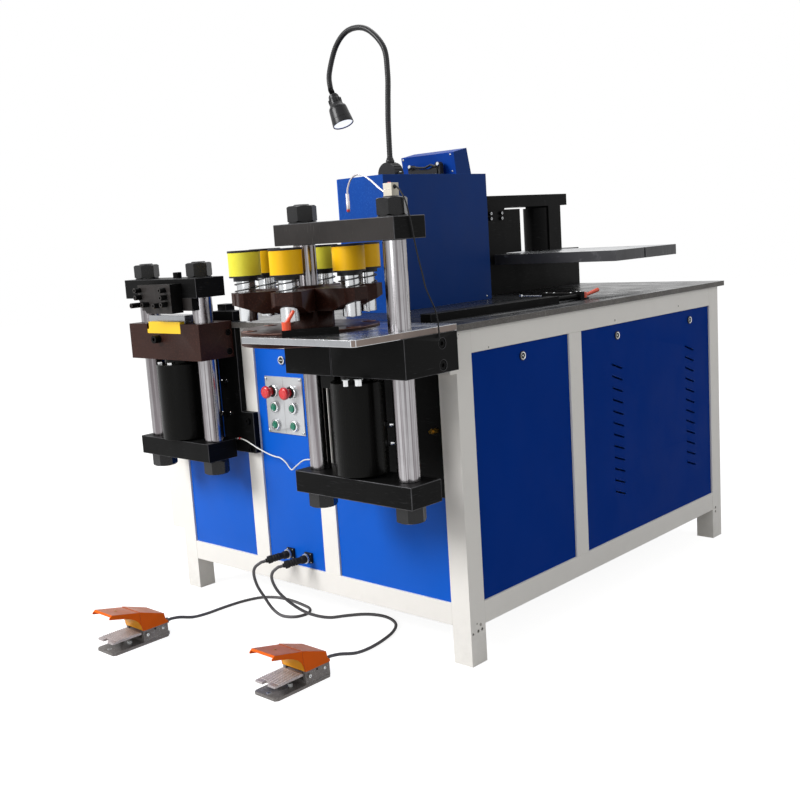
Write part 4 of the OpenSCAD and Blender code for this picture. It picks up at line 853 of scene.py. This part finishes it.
f.lathe(ARM[-1], HEAD, [
    (0.3, 0), (0.3, 11), (2, 13), (5, 13.4), (6, 15.5), (14, 16.4), (14.6, 17.6), (16.5, 18.4), (30, 20),
    (30.5, 19.4), (31.6, 19.5), (32, 20.2), (39, 21.6), (41, 22.6), (42.5, 25.2), (45, 27), (50, 28),
    (50.5, 27.4), (52, 27.5), (52.5, 28.3), (82, 31.2), (82.6, 30.7), (83.8, 30.8), (84.4, 31.6), (97, 32.8),
    (100.2, 32.8), (101, 31.8), (100.8, 30.6, 2), (98.6, 29.8, 2), (98.0, 29.2, 1), (98.3, 14, 1),
    (98.4, 0, 1)], 0, 64)
# cooling ribs round the neck of the shade
for a in ring_angles(12):
    out = Vector((0.9271, 0, 0.3748)) * math.cos(a) + Y * math.sin(a)
    f.block((17.0, -1.3, 17.5), (20.8, 1.3, 29), 0, frame_at(out, HEAD.cross(out), HEAD, ARM[-1]))
f.done("lamp_head")
f = Form("lamp_foot_trim", [MATT_BLACK, ZINC, HOLE_SHADE], "base", "black_steel", edge=0.5)
for i in (-1, 1):
    f.slot_screw((LAMP_X + i * 38, LAMP_Y, 1278), Z, 4.2, 2.4, 1, 2, 0.4 * i)
for k in range(9):
    a = math.radians(22 + 17 * k)
    c, s = math.cos(a), math.sin(a)
    f.block((33, -13, -1.1), (35.4, 13, 1.1), 0, frame_at((c, 0, s), Y, (-s, 0, c), (LAMP_X, LAMP_Y, 1275)))
f.done()

# Top of the electric box: console screws, saddle clip, plate
f = Form("console_trim", [ZINC, HOLE_SHADE, MATT_BLACK, BEZEL], "base", "alu_plate")
for z in (1330, 1280):
    for x in (-78, 117):
        f.slot_screw((x, -80 - (z - 1271) * 9 / 66, z), (0, -1, -0.136), 3.2, 1.8, 0, 1, x * 0.1)
for x, z in ((-29, 1305), (87, 1305)):
    f.lathe((x, -114, z), -Y, [(0, 5.6), (2.6, 5.6), (3.4, 4.6), (3.4, 0)], 3)
for x, r in ((-6, 3.2), (12, 2.6), (46, 3.0), (66, 2.6)):
    f.nut((x, -114, 1285), -Y, r, 3, 0)
f.tube([(-27, -122, 1296), (-10, -124, 1303), (18, -125, 1298), (44, -125, 1296), (66, -124, 1303),
        (85, -122, 1297)], 3.4, 2)
f.done()
f = Form("box_screws", [ZINC, HOLE_SHADE], "base", "alu_plate")
f.slot_screw((131, 41, 886), X, 3.4, 2.2, 0, 1, 0.7)
f.done()

# Sensor on the punch ram, with its feeler
f = Form("sensor_unit", [OFF_WHITE, RED, RUBBER, FEELER], BODY_OF["sensor"], "white_plastic", edge=0.9)
f.block((570, -877, 1188), (596, -853, 1217))
f.block((571.2, -877.4, 1202), (594.8, -852.6, 1203), 3)
f.lathe((579, PUNCH_Y, 1216.6), Z, [(0, 4.4), (1.8, 4.4), (2.4, 3.6), (2.4, 0)], 1)
f.lathe((595.5, -867, 1208), X, [(0, 5), (1.6, 5), (2.2, 4.0), (5, 3.2), (5, 0)], 2)
f.lathe((570.4, -860, 1191), (-0.86, 0, 0.51), [(-2, 5), (2, 5), (2.6, 4.2), (8, 3.8), (8, 2)], 3)
FEELER_LINE = [(x, -860, z) for x, z in ((570.5, 1191), (545, 1206), (517, 1227), (491, 1242), (469, 1244),
                                         (451, 1234), (440, 1216), (437, 1200))]
f.tube(catmull(FEELER_LINE, 14), lambda t: 2.25 - 0.25 * (0.5 + 0.5 * math.cos(2 * math.pi * t * 48)), 3)
f.lathe((437, -860, 1203), -Z, [(0, 2), (0, 3.4), (1, 4.0), (17, 4.0), (17.6, 4.4), (36, 4.4, 0),
                                (36.6, 4.2, 1), (41, 4.0, 1), (42, 3.2), (44, 2.6), (44, 0)], 3)
f.done("sensor")

# Wound springs under the pads, each with a mesh of its own
for i in range(6):
    turn = math.radians(60 * i)
    cx, cy = PIVOT_X + SPRING_RING * math.cos(turn), PUNCH_Y + SPRING_RING * math.sin(turn)
    coil = []
    for k in range(SPRING_STEPS + 1):
        a = math.radians(360 * SPRING_TURNS * k / SPRING_STEPS - 60) + turn
        coil.append((cx + SPRING_R * math.cos(a), cy + SPRING_R * math.sin(a),
                     SPRING_LOW + (SPRING_HIGH - SPRING_LOW) * k / SPRING_STEPS))
    f = Form("spring_%d" % (i + 1), [BLACK_EDGE], BODY_OF["punch_springs"], SLOT_OF["punch_springs"],
             smooth=60)
    f.tube(coil, SPRING_WIRE, 0, 10)
    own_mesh(f.done("punch_springs"))

# Foot switches: inner face in the brighter orange of painted light, shell, springs, pins and screws
for k, (px, py) in enumerate(((-310, -1190), (291, -1120)), 1):
    f = Form("pedal_inner_%d" % k, [ORANGE_IN_LIT], "base", "orange", smooth=60)
    outline = [(99.4, 43), (96.4, 56.4), (90.4, 68.2), (79.4, 78.8), (65.6, 86.6), (48, 93)]
    back = [(y + 1.6, z + 1.2) for y, z in outline[::-1]]
    f.prism(outline + back, 80.4, frame_at(Y, Z, X, (px - 40.2, py, 0)))
    f.done()
    # all faces of the shell but its two ends take the paler orange of painted sheen
    f = Form("pedal_shell_%d" % k, [ORANGE, ORANGE_TOP_SHEEN], "base", "orange", smooth=None, edge=0.5)
    f.prism([(94, 99.4), (172.6, 72.4), (175.6, 54.8), (183.6, 47.6), (183.6, 42), (100, 42), (97.8, 56),
             (94.6, 72)], 89.6, frame_at(Y, Z, X, (px - 44.8, py, 0)), 0, 1)
    f.done()
    f = Form("pedal_hardware_%d" % k, [ZINC, HOLE_SHADE, MATT_BLACK, BRASS], "base", "cast_grey")
    for i in (-1, 1):
        f.lathe((px + i * 46, py + 112, 28), i * X, [(-1, 4.6), (1.0, 4.6), (1.5, 3.8), (1.5, 1.6, 1),
                                                    (0.8, 1.4, 1), (0.8, 0)])
        f.slot_screw((px + i * 42, py + 166, 30), i * X, 4, 1.6, 0, 1, 0.8)
        f.lathe((px + i * 42, py + 140, 36), i * X, [(-1, 2.6), (1.4, 2.6), (1.9, 2.0), (1.9, 0)], 2, 20)
        coil = []
        for turn in range(41):
            a = turn / 10 * 2 * math.pi
            coil.append((px + i * 22 + 6.2 * math.cos(a), py + 66 + 6.2 * math.sin(a), 9.4 + turn * 0.26))
        f.tube(coil, 0.8, 0, 6)
        f.nut((px + i * 22, py + 66, 17.6), Z, 4.4, 2.2, 0)
    # toe hole
    # painted shade: the wall and floor of the toe hole are near-black
    f.lathe((px, py + 14, 8), Z, [(0.1, 6.4), (0.5, 6.2), (0.5, 4.2), (-6, 4.1, 1), (-6, 0)])
    # screw in the middle of the roof and a second one behind it
    for x, y, z in ((-4, 48, 108.0), (10, 112, 90.9)):
        f.slot_screw((px + x, py + y, z), (0, 0.22, 0.97), 3.6, 1.2, 3, 1, 0.5)
    f.done()

# Hexagon heads in front of the punch block, level with its underside, and fittings of the stations
f = Form("station_fittings", [BEZEL, ZINC, MATT_BLACK, BRASS], "base", "chrome", smooth=30)
for a, r in ((-64, 6.5), (-42, 9)):
    at = (PUNCH_X + 80 * math.cos(math.radians(a)), PUNCH_Y + 80 * math.sin(math.radians(a)), 772)
    f.nut(at, -Z, r * 1.02, 16.6, 0)
    f.lathe(at, -Z, [(0, r + 2.5), (2, r + 2.5), (2, r)], 1, 32)
# oil ports behind the right side of the punch barrel
for z in (646, 600):
    f.lathe((484, -826, z), (0.8, 0.6, 0), [(-4, 8), (5, 8), (5, 6.5), (7, 6.5)], 2, 6)
    f.lathe((484, -826, z), (0.8, 0.6, 0), [(7, 4.6), (12, 4.6), (12, 3.6), (16, 3.4), (16, 0)], 0, 20)
f.lathe((520, -700, 609), -Y, [(-14, 7), (3, 7), (3, 4.5), (12, 4.5), (12, 0)], 3)
for x, z in ((-302, 699), (-280, 700), (-311, 601), (-272, 603)):
    f.lathe((x, -710, z), -Y, [(0, 5), (3, 5), (3.6, 4), (3.6, 0)])
# plugs and drain of the shear barrel head
f.nut((SHEAR_C - 30, SHEAR_Y - 52, 768), -Z, 8, 10, 0)
f.nut((SHEAR_C + 24, SHEAR_Y - 56, 768), -Z, 8, 10, 0)
f.done()


# Stage and light
def make_stage():
    """A plain floor, white to the camera, that throws only a soft light back."""
    bm = bmesh.new()
    half, z = 14.0, -0.0005
    corners = ((-half, -half), (half, -half), (half, half), (-half, half))
    bm.faces.new([bm.verts.new((x, y, z)) for x, y in corners])
    mesh = bpy.data.meshes.new("floor")
    bm.to_mesh(mesh)
    bm.free()
    floor = bpy.data.objects.new("floor", mesh)
    scene.collection.objects.link(floor)
    mat = bpy.data.materials.new("floor_white")
    mat.use_nodes = True
    mat.node_tree.nodes.clear()
    t = Nodes(mat.node_tree)
    diffuse = t.add("ShaderNodeBsdfDiffuse", Color=(0.36, 0.36, 0.36, 1))
    shine = t.add("ShaderNodeEmission", Color=(1, 1, 1, 1))
    t.link(t.math("MULTIPLY", t.seen(), 0.9), shine.inputs["Strength"])
    both = t.add("ShaderNodeAddShader")
    t.link(diffuse.outputs[0], both.inputs[0])
    t.link(shine.outputs[0], both.inputs[1])
    t.link(both.outputs[0], t.add("ShaderNodeOutputMaterial").inputs[0])
    mesh.materials.append(mat)


def area(name, place, target, size, watts):
    data = bpy.data.lights.new(name, "AREA")
    data.shape = "RECTANGLE"
    data.size, data.size_y = size
    data.energy = watts
    ob = bpy.data.objects.new(name, data)
    scene.collection.objects.link(ob)
    ahead = (Vector(target) - Vector(place)).normalized()
    ob.matrix_world = Matrix.Translation(place) @ ahead.to_track_quat("-Z", "Y").to_matrix().to_4x4()
    ob.visible_camera = False


def make_light():
    """A white world to the camera with a weaker light of its own, and four soft boxes."""
    world = bpy.data.worlds.new("studio")
    scene.world = world
    world.use_nodes = True
    world.node_tree.nodes.clear()
    t = Nodes(world.node_tree)
    soft = t.add("ShaderNodeBackground", Color=(1, 1, 1, 1), Strength=0.30)
    plain = t.add("ShaderNodeBackground", Color=(1, 1, 1, 1), Strength=1.0)
    mixer = t.add("ShaderNodeMixShader")
    for i, source in enumerate((t.seen(), soft.outputs[0], plain.outputs[0])):
        t.link(source, mixer.inputs[i])
    t.link(mixer.outputs[0], t.add("ShaderNodeOutputWorld").inputs[0])
    area("key", (-2.0, -4.6, 3.6), (0, -0.3, 0.6), (2.6, 2.0), 274)
    area("side", (4.6, 0.4, 2.6), (0.2, 0, 0.5), (2.6, 2.2), 28)
    area("front", (1.4, -5.4, 1.6), (0.4, -0.6, 0.5), (2.0, 1.6), 34)
    area("top", (-0.6, 0.8, 4.4), (0, 0, 0.8), (3.0, 3.0), 60)


make_stage()
make_light()
scene.view_settings.view_transform = "Standard"
